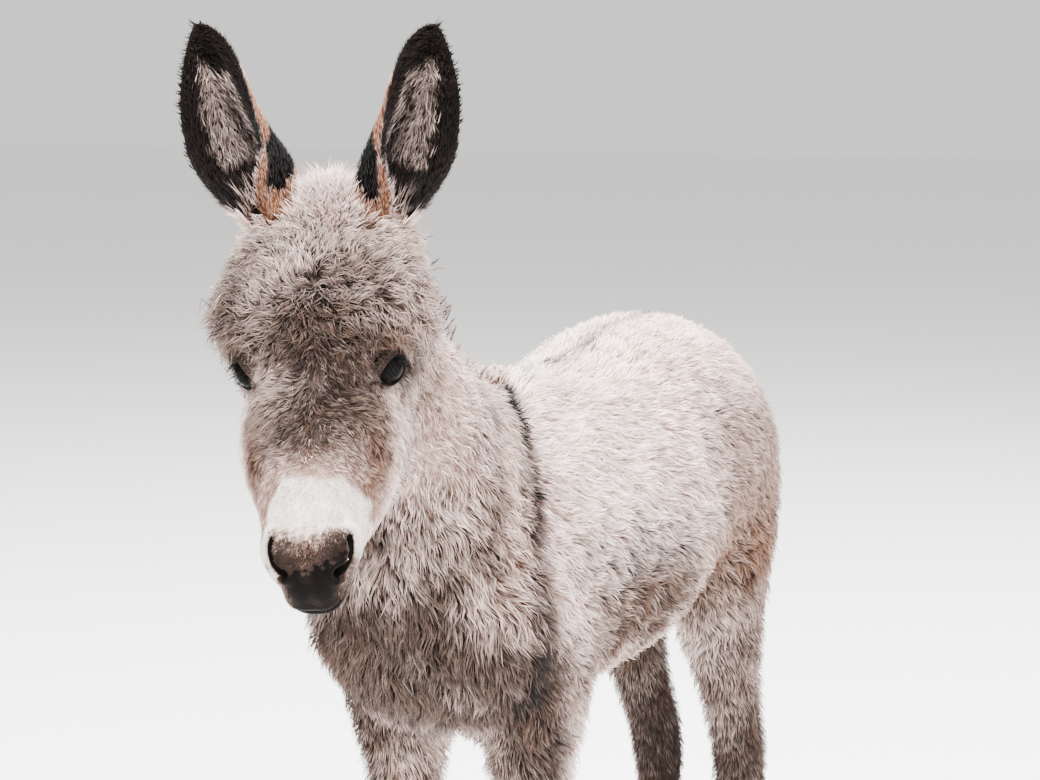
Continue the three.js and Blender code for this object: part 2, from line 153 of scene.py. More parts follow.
def smoothShade(mesh):
    mesh.polygons.foreach_set("use_smooth", np.ones(len(mesh.polygons), bool))


def put(mesh, name, values):
    values = np.asarray(values, np.float32)
    if values.ndim == 2:
        mesh.attributes.new(name, "FLOAT_VECTOR", "POINT").data.foreach_set("vector", values.ravel())
    else:
        mesh.attributes.new(name, "FLOAT", "POINT").data.foreach_set("value", values)


def valuesOf(mesh, name):
    return read(mesh.attributes[name].data, "value", 1)[:, 0]


def relax(mesh, points, rounds, share=0.5, keep=0.0):
    # moves each point towards its neighbours; share may differ from point to point
    edges = np.empty(len(mesh.edges) * 2, np.int32)
    mesh.edges.foreach_get("vertices", edges)
    a, b = edges.reshape(-1, 2).T
    count = len(points)
    near = np.bincount(a, minlength=count) + np.bincount(b, minlength=count)
    near = np.maximum(near, 1)[:, None]
    share = np.broadcast_to(share, (count,))[:, None]

    def average(values):
        total = np.empty_like(values)
        for axis in range(3):
            v = values[:, axis]
            total[:, axis] = np.bincount(a, v[b], count) + np.bincount(b, v[a], count)
        return total / near

    for _ in range(rounds):
        points = points + share * (average(points) - points)
        if keep:
            points = points - keep * share * (average(points) - points)
    return points


# The skin: one smooth surface through all the flesh.
skinShape = {
    "voxel": 0.0048,
    "swell": 0.0004,
    "nodes": ["trunk", "neck", "head", "tail"]
    + [f"{end}leg_{side}" for end in ("fore", "hind") for side in ("left", "right")],
}


def legShare(p):
    return 1 - ease(p[:, 2], 0.40, 0.50)


def headShare(p):
    q = toHead(p)
    return ease(q[:, 1], 0.05, 0.0) * ease(q[:, 2], -0.175, -0.125) * ease(q[:, 1], 0.06, -0.01)


def tailShare(p):
    return ease(p[:, 1], 0.405, 0.42) * ease(p[:, 2], 0.50, 0.54)


coat = {
    # how deep the hair stands over the skin, in metres
    "body": 0.0125,
    "neck": 0.0135,
    "chest": 0.015,
    "belly": 0.014,
    "tail": 0.008,
    "leg": ([0.0, 0.036, 0.06, 0.28, 0.42], [0.0, 0.001, 0.0045, 0.006, 0.011]),  # by height
    "head": (  # by the place between the tip of the nose and the poll
        [-0.316, -0.255, -0.20, -0.155, -0.125, -0.10, 0.03],
        [0.0012, 0.0018, 0.004, 0.006, 0.0085, 0.0125, 0.0125]),
    "brow": (0.0035, (0.092, -0.075, 0.0), (0.03, 0.04, 0.05)),  # added height, place and reach
    "cheek": 0.0085,
    "jaw": (-0.24, -0.16),
    "roundEye": ([0.018, 0.026, 0.040], [0.30, 0.45, 1.0]),
}


def overHead(q, sizes):
    # a size that changes along the head
    size = between(q[:, 1], *sizes["head"])
    higher, centre, reach = sizes["brow"]
    size = size + higher * bump(mirrored(q), centre, reach)
    jaw = ease(q[:, 2], -0.04, -0.09) * ease(q[:, 1], *sizes["jaw"])
    return size + (sizes["cheek"] - size) * jaw * 0.8


def overBody(p, sizes, belly, head):
    # a size that changes from one part of the body to the next
    _, along, height = p.T
    size = sizes["body"] + (sizes["neck"] - sizes["body"]) * ease(along, -0.10, -0.20)
    size += (sizes["chest"] - sizes["body"]) * ease(along, -0.16, -0.24) * ease(height, 0.66, 0.58)
    size += (sizes["belly"] - sizes["body"]) * belly
    size = mix(size, between(height, *sizes["leg"]), legShare(p))
    size = mix(size, sizes["tail"], tailShare(p))
    return mix(size, head, headShare(p))


def coatDepth(p):
    q = toHead(p)
    belly = ease(p[:, 2], 0.54, 0.49) * (1 - ease(p[:, 1], -0.10, -0.20))
    head = overHead(q, coat) * between(fromEye(mirrored(q))[1], *coat["roundEye"])
    return overBody(p, coat, belly, head)


def flesh():
    bm = bmesh.new()
    for name in skinShape["nodes"]:
        part = bmesh.new()
        part.from_mesh(frame["nodes"][name].data)
        bmesh.ops.remove_doubles(part, verts=part.verts, dist=1e-6)
        part.normal_update()
        for v in part.verts:
            v.co += v.normal * skinShape["swell"]
        temp = bpy.data.meshes.new("part")
        part.to_mesh(temp)
        bm.from_mesh(temp)
        part.free()
        bpy.data.meshes.remove(temp)
    mesh = bpy.data.meshes.new("flesh")
    bm.to_mesh(mesh)
    bm.free()
    obj = link(bpy.data.objects.new("flesh", mesh))
    remesh = obj.modifiers.new("remesh", "REMESH")
    remesh.mode = "VOXEL"
    remesh.voxel_size = skinShape["voxel"]
    graph = bpy.context.evaluated_depsgraph_get()
    whole = bpy.data.meshes.new_from_object(obj.evaluated_get(graph))
    bpy.data.objects.remove(obj)
    return whole


def divide(mesh, chosen):
    # halves the edges whose two ends are both chosen
    bm = bmesh.new()
    bm.from_mesh(mesh)
    bm.verts.ensure_lookup_table()
    edges = [e for e in bm.edges if chosen[e.verts[0].index] and chosen[e.verts[1].index]]
    bmesh.ops.subdivide_edges(bm, edges=edges, cuts=1, use_grid_fill=True)
    bm.to_mesh(mesh)
    bm.free()


eye = {
    "centre": (0.050, -0.131, -0.003),
    "radius": 0.016,
    "proud": 0.045,  # how far the clear front stands out of the ball, over its radius
    "axis": (0.80, -0.52, 0.24),  # the middle of the opening between the lids
    "gaze": (0.60, -0.76, 0.20),  # where the pupil looks
    "front": (-0.57, -0.81, 0.13),  # towards the inner corner
    "openFront": 54, "openBack": 39, "openUp": 36, "openDown": 42,  # half openings, in degrees
    "cornerPower": 1.7,  # 2 would give an oval opening, 1 one with four sharp corners
    "folds": [(0.0022, 0.027, 0.003), (-0.0014, 0.0315, 0.0025)],  # height, distance and half width
}
muzzle = {
    "nostril": [
        (0.0305, -0.2765, -0.0150), (0.0328, -0.2805, -0.0190), (0.0333, -0.2850, -0.0235),
        (0.0308, -0.2905, -0.0270), (0.0258, -0.2960, -0.0275), (0.0198, -0.3000, -0.0250)],
    "nostrilWide": 0.0038,
    "nostrilWider": 1.2,  # the left one is open wider
    "nostrilDeep": 0.0075,
    "nostrilRim": 0.0030,
    "lean": (0.0034, 0.0015, -0.0030),  # how far the left nostril is out, and the right one in
    "mouthBack": -0.262,
    "mouthLevel": ([-0.32, -0.30, -0.262], [-0.062, -0.063, -0.0675]),
    "lipRolls": [(-0.0050, 0.0, 0.0022), (0.0016, 0.0075, 0.005), (0.0020, -0.0080, 0.006)],  # as the folds
    # narrow lips, the lower ones more so, and the groove between the nostrils: depth, place and reach
    "pressed": [
        (0.0080, (0.033, -0.296, -0.054), (0.013, 0.026, 0.018)),
        (0.0060, (0.030, -0.285, -0.074), (0.016, 0.030, 0.012)),
        (0.0020, (0.0, -0.312, -0.040), (0.006, 0.03, 0.02))],
    # the face crest and the hollow over it: height and course
    "ridges": [
        (0.0025, [(0.052, -0.150, -0.034), (0.052, -0.178, -0.042), (0.046, -0.205, -0.046)]),
        (-0.0022, [(0.052, -0.160, -0.012), (0.044, -0.200, -0.014), (0.037, -0.240, -0.014)])],
}


def fromEye(m):
    # the way and the distance from the middle of the eyeball
    away = m - np.array(eye["centre"])
    ring = np.linalg.norm(away, axis=1)
    return away / (ring[:, None] + 1e-9), ring


def lidOpening(turn):
    # the half opening of the lids in the direction turn, 0 towards the front corner
    c, s = np.cos(turn), np.sin(turn)
    wide = np.where(c > 0, eye["openFront"], eye["openBack"])
    high = np.where(s > 0, eye["openUp"], eye["openDown"])
    power = eye["cornerPower"]
    return (np.abs(c / wide) ** power + np.abs(s / high) ** power) ** (-1 / power)


def headEyeAxes():
    # the left eye's axis, and the ways to its front corner and up, in the head's frame
    axis = unit(np.array(eye["axis"]))
    front = np.array(eye["front"])
    front = unit(front - axis * (front @ axis))
    up = np.cross(axis, front)
    return axis, front, up * np.sign(up[2])


def eyeAxes(side):
    flip = np.array([1 if side == "left" else -1, 1, 1])
    return fromHead([np.array(eye["centre"]) * flip])[0], *[(v * flip) @ headAxes.T for v in headEyeAxes()]


def nearCurve(points, curve):
    # distance to a chain of short segments, and how far along it the nearest place is
    best = np.full(len(points), 1e9)
    along = np.zeros(len(points))
    steps = len(curve) - 1
    for i in range(steps):
        a, b = np.array(curve[i]), np.array(curve[i + 1])
        ab = b - a
        t = clamp(((points - a) @ ab) / (ab @ ab))
        away = np.linalg.norm(points - (a + t[:, None] * ab), axis=1)
        closer = away < best
        best = np.where(closer, away, best)
        along = np.where(closer, (i + t) / steps, along)
    return best, along


def nostrilNear(q):
    # distance to the nostril's slit, how far along it, its half width there, and the place it is seen at
    m = mirrored(q) - np.sign(q[:, :1]) * np.array(muzzle["lean"])
    away, along = nearCurve(m, muzzle["nostril"])
    wide = muzzle["nostrilWide"] * between(along, [0, 0.4, 1], [0.85, 1.15, 0.75])
    return away, along, wide * np.where(q[:, 0] > 0, muzzle["nostrilWider"], 1.0), m


def overMouth(q):
    return q[:, 2] - between(q[:, 1], *muzzle["mouthLevel"])


def shapeHead(p, normals):
    # folds, nostrils and lips, as small moves in and out of the surface
    q = toHead(p)
    m = mirrored(q)
    away, _, wide, _ = nostrilNear(q)
    out = muzzle["nostrilRim"] * bell(away - 2.1 * wide, 0.004) - muzzle["nostrilDeep"] * bell(away, wide)
    inMouth = ease(q[:, 1], muzzle["mouthBack"] + 0.006, muzzle["mouthBack"] - 0.012)
    for high, level, half in muzzle["lipRolls"]:
        out += high * inMouth * bell(overMouth(q) - level, half)
    for deep, centre, reach in muzzle["pressed"]:
        out -= deep * bump(m, centre, reach)
    ring = fromEye(m)[1]
    above = ease(m[:, 2] - eye["centre"][2], -0.004, 0.012)
    for (high, far, half), share in zip(eye["folds"], (above, 1)):
        out += high * share * bell(ring - far, half)
    for high, course in muzzle["ridges"]:
        out += high * bell(nearCurve(m, course)[0], 0.012)
    return p + normals * (out * headShare(p))[:, None]


def eyeBeyond(m):
    # how many degrees beyond the opening of the lids, how far from the eyeball's middle, and which way
    axis, front, up = headEyeAxes()
    way, ring = fromEye(m)
    angle = np.degrees(np.arccos(np.clip(way @ axis, -1, 1)))
    return angle - lidOpening(np.arctan2(way @ up, way @ front)), ring, way, angle


def wrapEyes(p):
    # the skin closes round each eyeball, just under the lids
    q = toHead(p)
    sign = np.where(q[:, 0] > 0, 1.0, -1.0)
    beyond, ring, way, angle = eyeBeyond(mirrored(q))
    wanted = eye["radius"] * between(beyond, [-4, 2, 10, 22, 34], [0.90, 1.0, 1.06, 1.06, 1.10])
    share = between(beyond, [-4, 16, 42], [1, 1, 0]) * ease(angle, 120, 95) * ease(ring, 0.044, 0.034)
    ring = ring + share * headShare(p) * (wanted - ring)
    m = np.array(eye["centre"]) + way * ring[:, None]
    m[:, 0] *= sign
    return fromHead(m)


def makeSkin():
    mesh = flesh()
    p = coordsOf(mesh)
    print("skin surface", len(p))
    firm = clamp(headShare(p) + 0.8 * legShare(p) + tailShare(p))
    p = relax(mesh, p, 26, mix(0.62, 0.10, firm), keep=0.35)
    p = relax(mesh, p, 5, 0.5, keep=0.5)
    setCoords(mesh, p)
    p = relax(mesh, p - normalsOf(mesh) * coatDepth(p)[:, None], 3, 0.5, keep=0.45)
    setCoords(mesh, p)

    def refine(chosen, rounds):
        divide(mesh, chosen)
        p = coordsOf(mesh)
        p = relax(mesh, p, rounds, 0.5 * headShare(p), keep=0.4)
        setCoords(mesh, p)
        return p, toHead(p), headShare(p)

    # a finer net on the head, a finer one round the eyes and on the muzzle, and the finest at its openings
    p, q, head = refine((headShare(p) > 0.3) & (toHead(p)[:, 1] < 0.01), 3)
    p, q, head = refine((head > 0.9) & ((q[:, 1] < -0.235) | (fromEye(mirrored(q))[1] < 0.036)), 2)
    lips = (q[:, 1] < muzzle["mouthBack"] + 0.01) & (np.abs(overMouth(q)) < 0.009)
    p, q, head = refine((head > 0.9) & ((nostrilNear(q)[0] < 0.011) | lips), 2)
    away, _, wide, _ = nostrilNear(q)
    put(mesh, "slit", head * ease(away, 1.3 * wide, 0.95 * wide))
    setCoords(mesh, wrapEyes(shapeHead(p, normalsOf(mesh))))
    return mesh


# The ears.
ear = {
    "length": 0.158,
    "radius": (
        [0, 0.12, 0.4, 0.62, 0.75, 0.86, 0.95, 1],
        [0.026, 0.030, 0.036, 0.0345, 0.031, 0.026, 0.017, 0.008]),
    "span": ([0, 0.12, 0.3, 0.5, 0.75, 1], [165, 145, 112, 92, 78, 62]),  # degrees, to each side
    "wall": 0.0042,
    "left": {
        "root": (0.036, 0.003, 0.010), "splay": 17.5, "tip": 2, "face": 40,
        "bow": 0.020, "bulge": 0.004, "inward": -1},
    "right": {
        "root": (-0.042, 0.008, 0.016), "splay": -21.5, "tip": 3, "face": -27,
        "bow": -0.022, "bulge": 0.008, "inward": 1},
}


def earMatrix(side):
    how = ear[side]
    at = fromHead([how["root"]])[0]
    return (
        Matrix.Translation(Vector(at))
        @ Matrix.Rotation(math.radians(headPlace["turn"]), 4, "Z")
        @ Matrix.Rotation(math.radians(how["splay"]), 4, "Y")
        @ Matrix.Rotation(math.radians(how["tip"]), 4, "X")
        @ Matrix.Rotation(math.radians(how["face"]), 4, "Z")
    )


def fringeShare(p):
    # how near a place is to the foot of an ear, but not on the side of the other ear
    shares = []
    for side, sign in (("left", 1), ("right", -1)):
        place = np.array(earMatrix(side))
        off = p - place[:3, 3]
        along = off @ place[:3, 2]
        away = np.linalg.norm(off - along[:, None] * place[:3, 2], axis=1)
        near = bell(np.maximum(away - 0.026, 0), 0.011) * ease(np.abs(along), 0.05, 0.03)
        shares.append(near * ease(off @ headAxes[:, 0] * sign, -0.014, 0.002))
    return np.maximum(*shares)


def smoothTable(t, table):
    # a table read with a little blur, so that no kink shows
    return sum(between(clamp(t + d), *table) for d in (-0.05, -0.025, 0, 0.025, 0.05)) / 5


def makeEar(side, along=54, around=30):
    # returns points, faces and, for each point, how far up it is, how near the rim, and whether inside
    t = np.linspace(-0.10, 1, along)
    u = np.linspace(-1, 1, around)
    up, rim = np.meshgrid(t, u, indexing="ij")
    safe = clamp(up)
    radius = smoothTable(safe, ear["radius"]) - 0.0022
    radius = radius * np.where(up > 0.97, np.sqrt(np.clip((1.004 - up) / 0.034, 0.02, 1)), 1)
    angle = rim * np.radians(smoothTable(safe, ear["span"]))
    how = ear[side]
    # the woolly swelling low on the back, towards the other ear
    swelling = 0.5 + 0.5 * np.cos(angle - how["inward"] * math.radians(55))
    radius = radius + how["bulge"] * bell(up - 0.2, 0.16) * swelling
    lean = 0.008 * np.sin(np.pi * safe) - 0.006
    aside = how["bow"] * np.sin(np.pi * safe)
    edge = np.sqrt(clamp(1 - np.abs(rim) ** 6))  # the wall thins into a round rim
    wall = ear["wall"] * between(up, [-0.1, 0.5, 1], [1.25, 1, 0.55]) * (0.12 + 0.88 * edge)
    flare = 0.003 * np.abs(rim) ** 3 * np.sin(np.pi * safe)
    layers = []
    for inside in (0, 1):
        r = radius + flare - inside * wall
        if inside:  # low ridges run up the hollow of the ear
            r = r - 0.0011 * np.cos(rim * 9.5) * np.sin(np.pi * safe) * edge
        grid = [r * np.sin(angle) + aside, r * np.cos(angle) + lean, up * ear["length"]]
        layers.append(np.stack(grid, -1).reshape(-1, 3))
    points = np.concatenate(layers)
    size = along * around
    faces = []
    for i in range(along - 1):
        for j in range(around - 1):
            a = i * around + j
            faces.append((a, a + 1, a + 1 + around, a + around))
            b = a + size
            faces.append((b, b + around, b + around + 1, b + 1))
        a = i * around
        faces.append((a, a + around, a + around + size, a + size))
        b = a + around - 1
        faces.append((b, b + size, b + size + around, b + around))
    for j in range(around - 1):
        a = (along - 1) * around + j
        faces.append((a, a + 1, a + 1 + size, a + size))
        faces.append((j + size, j + 1 + size, j + 1, j))
    place = np.array(earMatrix(side))
    world = points @ place[:3, :3].T + place[:3, 3]
    up, rim = np.tile(up.ravel(), 2), np.tile(rim.ravel(), 2)
    return world, np.array(faces)[:, ::-1], up, rim, np.repeat([0.0, 1.0], size)


# Eyes and lids.
lid = {
    # out from the margin: degrees on, and radius over the eye's own
    "rings": [
        (0, 0.99), (0.5, 1.03), (2.5, 1.085), (6, 1.115), (10, 1.11), (14, 1.085), (19, 1.07), (25, 1.04),
        (32, 0.96)],
    "heavy": 0.045,  # the upper lid stands further out and its fold is heavier
}


def gridFaces(rows, around):
    # the corners of each face of a tube of points
    row, place = (n.ravel() for n in np.meshgrid(np.arange(rows - 1), np.arange(around), indexing="ij"))
    here, there = row * around + place, row * around + (place + 1) % around
    return np.stack([here, there, there + around, here + around], -1)


def fromAxis(axes, angle, turn):
    # the way that lies at an angle to the eye's axis, turned from its front corner upwards
    axis, front, up = axes
    angle, turn = angle[..., None], turn[..., None]
    return axis * np.cos(angle) + (front * np.cos(turn) + up * np.sin(turn)) * np.sin(angle)


def makeLids(side, around=56):
    centre, *axes = eyeAxes(side)
    turn = np.linspace(0, 2 * np.pi, around, endpoint=False)
    opening = lidOpening(turn)
    rows = []
    for on, size in lid["rings"]:
        angle = np.radians(np.minimum(opening + on, 118))
        heavy = 1 + lid["heavy"] * clamp(np.sin(turn)) * (1 < on < 30)
        rows.append(centre + (eye["radius"] * size * heavy)[:, None] * fromAxis(axes, angle, turn))
    faces = gridFaces(len(rows), around)
    edge = np.repeat(np.array([on for on, _ in lid["rings"]], float), around)
    return np.concatenate(rows), faces if side == "left" else faces[:, ::-1], edge


def makeEyeball(side, name):
    centre, *axes = eyeAxes(side)
    rings, around = 40, 48
    polar = np.linspace(0, np.pi, rings + 1)[1:-1]
    turn = np.linspace(0, 2 * np.pi, around, endpoint=False)
    a, t = np.meshgrid(polar, turn, indexing="ij")
    r = eye["radius"] * (1 + eye["proud"] * np.exp(-((a / 0.55) ** 4)))
    grid = centre + r[..., None] * fromAxis(axes, a, t)
    ahead = axes[0] * eye["radius"]
    poles = np.stack([centre + ahead * (1 + eye["proud"]), centre - ahead])
    points = np.concatenate([grid.reshape(-1, 3), poles])
    bm = bmesh.new()
    verts = [bm.verts.new(p) for p in points]
    for corners in gridFaces(len(polar), around):
        bm.faces.new([verts[n] for n in corners])
    last = (len(polar) - 1) * around
    for j in range(around):
        k = (j + 1) % around
        bm.faces.new([verts[-2], verts[j], verts[k]])
        bm.faces.new([verts[-1], verts[last + k], verts[last + j]])
    bmesh.ops.recalc_face_normals(bm, faces=bm.faces)
    mesh = bpy.data.meshes.new(name)
    bm.to_mesh(mesh)
    bm.free()
    smoothShade(mesh)
    look = unit(np.array(eye["gaze"])) * [1 if side == "left" else -1, 1, 1] @ headAxes.T
    level = unit(np.cross(look, (0, 0, 1)))
    p = coordsOf(mesh) - centre
    put(mesh, "gazeAcross", p @ level / eye["radius"])
    put(mesh, "gazeUp", p @ np.cross(level, look) / eye["radius"])
    return link(bpy.data.objects.new(name, mesh))


bodyMesh = makeSkin()
bodyCoords = coordsOf(bodyMesh)
bodyNormals = normalsOf(bodyMesh)
print("skin shaped", len(bodyCoords))

# The colour marks: masks from 0 to 1 for each place on the animal.
markNames = ("dark", "white", "pale", "rust", "brown")
marks = {
    # lines on the body are (back to front, height) with a half width, patches are centre and reach
    "shoulderStripe": (
        [(-0.064, 0.778), (-0.091, 0.757), (-0.118, 0.739), (-0.133, 0.714), (-0.144, 0.685),
         (-0.164, 0.652)],
        0.0092),
    "elbow": ([(-0.183, 0.562), (-0.185, 0.540), (-0.180, 0.520)], 0.018),
    "armLine": (
        [(-0.184, 0.625), (-0.190, 0.588), (-0.192, 0.545), (-0.176, 0.500), (-0.166, 0.470)], 0.017),
    "lightBand": ([(-0.130, 0.690), (-0.146, 0.625), (-0.144, 0.585), (-0.130, 0.552)], 0.017),
    "backStripeWide": 0.008,
    "jawShade": ((-0.296, 0.672), (0.034, 0.060)),
    "shoulderLight": ((-0.232, 0.625), (0.040, 0.058)),
    "flank": ((0.018, 0.580), (0.080, 0.056)),
    "whiteEdge": -0.233,
    "leftWhite": 0.0455,  # how far round the muzzle the white reaches, and on the right side less
    "rightWhite": ([-0.290, -0.276, -0.248, -0.236], [0.060, 0.036, 0.029, 0.020]),
    # painted shadow under the brow's overhanging wool
    "browShadow": ([(0.067, -0.127, -0.006), (0.071, -0.121, -0.018), (0.073, -0.108, -0.040)], 0.012),
    "paleCheek": (
        [(0.058, -0.148, -0.020), (0.063, -0.185, -0.030), (0.058, -0.212, -0.052),
         (0.048, -0.240, -0.064)],
        0.013),
    "rustCheek": ((0.054, -0.208, -0.018), (0.020, 0.042, 0.026)),
    "rustLid": ((0.063, -0.116, 0.016), (0.018, 0.010, 0.010)),
    "noseSide": ([-0.045, -0.030, -0.022, -0.008], [0.0190, 0.0225, 0.0300, 0.0320]),
    "lipWide": ([0.265, 0.290, 0.308], [0.0010, 0.0020, 0.0045]),
    "earPit": (0.20, 0.17),  # how far towards the other ear, and how far up
}
tints = {
    # how strongly each part of the body takes a colour
    "dark": {"stripe": 1.25, "back": 1.0, "elbow": 1.0, "armLine": 0.15},
    "brown": {
        "flank": 1.9, "armShade": 0.42, "hind": 0.14, "hindRear": 0.18, "hindLow": 0.19, "farLegBrownAndShade": 0.24,
        "chest": 0.95, "rumpTop": 0.64, "foreArm": 0.36, "armLine": 0.55, "spots": 0.20, "blotch": 0.10,
        "fleck": 0.05},
    "rust": {"flank": 0.24, "rump": 0.60, "spots": 0.20, "blotch": 0.08},
}


def roughly(points, size, seed):
    # a smooth random field, about -1 to 1, with features of about the given size
    own = np.random.default_rng(seed)
    total = plain(points)
    for _ in range(8):
        way = unit(own.normal(size=3)) * (2 * np.pi / size) * own.uniform(0.6, 1.5)
        total += np.sin(points @ way + own.uniform(0, 2 * np.pi))
    return total / 2.7


def nearLine(p, name, wider=1.0):
    line, wide = marks[name]
    flat = np.stack([plain(p), p[:, 1], p[:, 2]], -1)
    return bell(nearCurve(flat, [(0, *place) for place in line])[0], wide * wider)


def trunkMarks(p, body, blotch, fleck):
    across, along, height = p.T
    side = np.abs(across)
    outer = ease(side, 0.045, 0.085)
    rear = ease(along, 0.24, 0.30)
    hind = ease(along, 0.16, 0.24) * ease(height, 0.56, 0.50)
    low = ease(height, 0.43, 0.32)
    rump = ease(along, 0.10, 0.20) * ease(height, 0.78, 0.69)
    stripe = nearLine(p + 0.004 * fleck[:, None], "shoulderStripe")
    stripe *= clamp(0.95 + 0.4 * roughly(p, 0.03, 8))
    stripe *= between(height, [0.66, 0.70, 0.74], [0.55, 1.0, 1.3])
    back = bell(across + 0.003 * blotch, marks["backStripeWide"]) * ease(height, 0.62, 0.70)
    broken = clamp(0.85 + 0.35 * roughly(p, 0.018, 13)) * ease(side, 0.060, 0.085)
    broken = broken * clamp(0.85 + 0.45 * roughly(p, 0.0045, 17))
    # the chest: a browner coat, with painted shade under the head that is darkest on its far side
    chest = ease(along, -0.15, -0.23) * between(height, [0.46, 0.51, 0.585, 0.65], [0.30, 0.62, 1, 0])
    # the inner side of the far hind leg: a little browner, and painted shade from under the belly
    farLegBrownAndShade = ease(height, 0.50, 0.42) * ease(along, 0.28, 0.34) * ease(-across, -0.02, 0.0)
    mottled = np.clip(0.80 + 0.30 * blotch + 0.40 * roughly(p, 0.022, 63), 0.2, 1.3)
    parts = {
        "stripe": stripe,
        "back": back * ease(along, -0.12, -0.06) * clamp(0.62 + 0.25 * roughly(p, 0.05, 9)),
        "elbow": nearLine(p, "elbow", 1 + 0.3 * blotch) * broken,
        "armLine": nearLine(p, "armLine", 1 + 0.3 * blotch) * broken,
        "flank": bump(p[:, 1:], *marks["flank"]) * outer * mottled,
        "armShade": ease(along, -0.110, -0.140) * ease(height, 0.585, 0.555) * outer,
        "hind": hind, "hindRear": hind * rear, "hindLow": hind * low,
        "farLegBrownAndShade": farLegBrownAndShade * ease(across, -0.078, -0.048),
        "chest": chest * between(across, [-0.11, -0.06, 0.0, 0.06, 0.12], [0.25, 1.0, 0.9, 0.50, 0.15]),
        "rump": rump * (1 - hind), "rumpTop": rump * (1 - 0.6 * hind),
        "foreArm": ease(height, 0.59, 0.50) * ease(along, 0.0, -0.06),
        "spots": clamp(roughly(p, 0.020, 62)) * ease(height, 0.74, 0.66) * outer,
        "blotch": blotch, "fleck": fleck,
    }

    def tinted(colour):
        return [share * parts[name] for name, share in tints[colour].items()]

    # painted shade: low on the hind legs, on the far hind leg and on the chest
    farShade = parts["farLegBrownAndShade"] * (0.04 + 0.44 * ease(height, 0.42, 0.30))
    shade = np.maximum.reduce([0.30 * parts["hindLow"], farShade, 0.22 * parts["chest"]])
    dark = np.maximum.reduce([
        body * clamp(np.maximum.reduce(tinted("dark"))),
        0.85 * tailShare(p) * ease(height, 0.66, 0.58),
        0.6 * body * ease(height, 0.075, 0.045),
        body * shade * (1 + 0.25 * fleck)])
    neck = 0.24 + 0.20 * blotch + 0.10 * fleck + 0.55 * bump(p[:, 1:], *marks["jawShade"])
    neck = neck - 0.26 * bump(p[:, 1:], *marks["shoulderLight"]) * outer
    neck = neck * ease(along, -0.11, -0.19) * ease(height, 0.40, 0.50)
    under = ease(height, 0.525, 0.475) * ease(along, -0.15, -0.08) * (0.85 - 0.2 * legShare(p))
    light = np.maximum(nearLine(p, "lightBand") * outer, under * (1 - rear) * (1 - 0.5 * hind))
    topLight = ease(height, 0.57, 0.69) * ease(along, -0.135, -0.085) * (1 - 0.75 * rump)
    inner = ease(side, 0.05, 0.02) * legShare(p) * ease(along, 0.20, 0.10)
    pale = [light * (1 - 0.9 * parts["armShade"]), topLight * clamp(0.95 + 0.2 * blotch), 0.7 * inner]
    return {
        "dark": dark,
        "white": body * 0.20 * topLight * ease(along, 0.14, 0.02),
        "pale": body * np.maximum.reduce(pale),
        "rust": body * clamp(sum(tinted("rust"))),
        "brown": body * clamp(neck + sum(tinted("brown")) + 0.06),
    }


def noseMarks(p, q):
    # from white through brown to black, with a tan streak down the middle, a chin and dark lips
    x, y, z = mirrored(q).T
    mottle = 0.7 * roughly(p, 0.007, 14) + 0.5 * roughly(p, 0.0030, 16)
    away, up, slit, seen = nostrilNear(q)
    aside = seen[:, 0]
    frontal = ease(-y, 0.264, 0.277)
    nose = clamp((-z + 0.0020 * mottle + 0.0022) / 0.0225) * frontal
    nose = nose * ease(between(z, *marks["noseSide"]) - aside + 0.0018 * mottle, -0.0055, 0.0055)
    curve = np.array(muzzle["nostril"])
    inside = ease(between(up, np.linspace(0, 1, len(curve)), curve[:, 0]) - aside, 0, 0.002)
    return {
        "nose": nose,
        "streak": bell(x, 0.0062) * ease(-z + 0.003 * mottle, 0.030, 0.012),
        "rim": inside * bell(away - 1.45 * slit, 0.0010) * frontal * ease(1 - up, 0.05, 0.3),
        "chin": ease(-z + 0.0030 * mottle, 0.022, 0.040) * frontal * ease(0.040 - x, -0.004, 0.010),
        "lips": ease(-y, 0.250, 0.262) * bell(overMouth(q), between(-y, *marks["lipWide"])),
    }


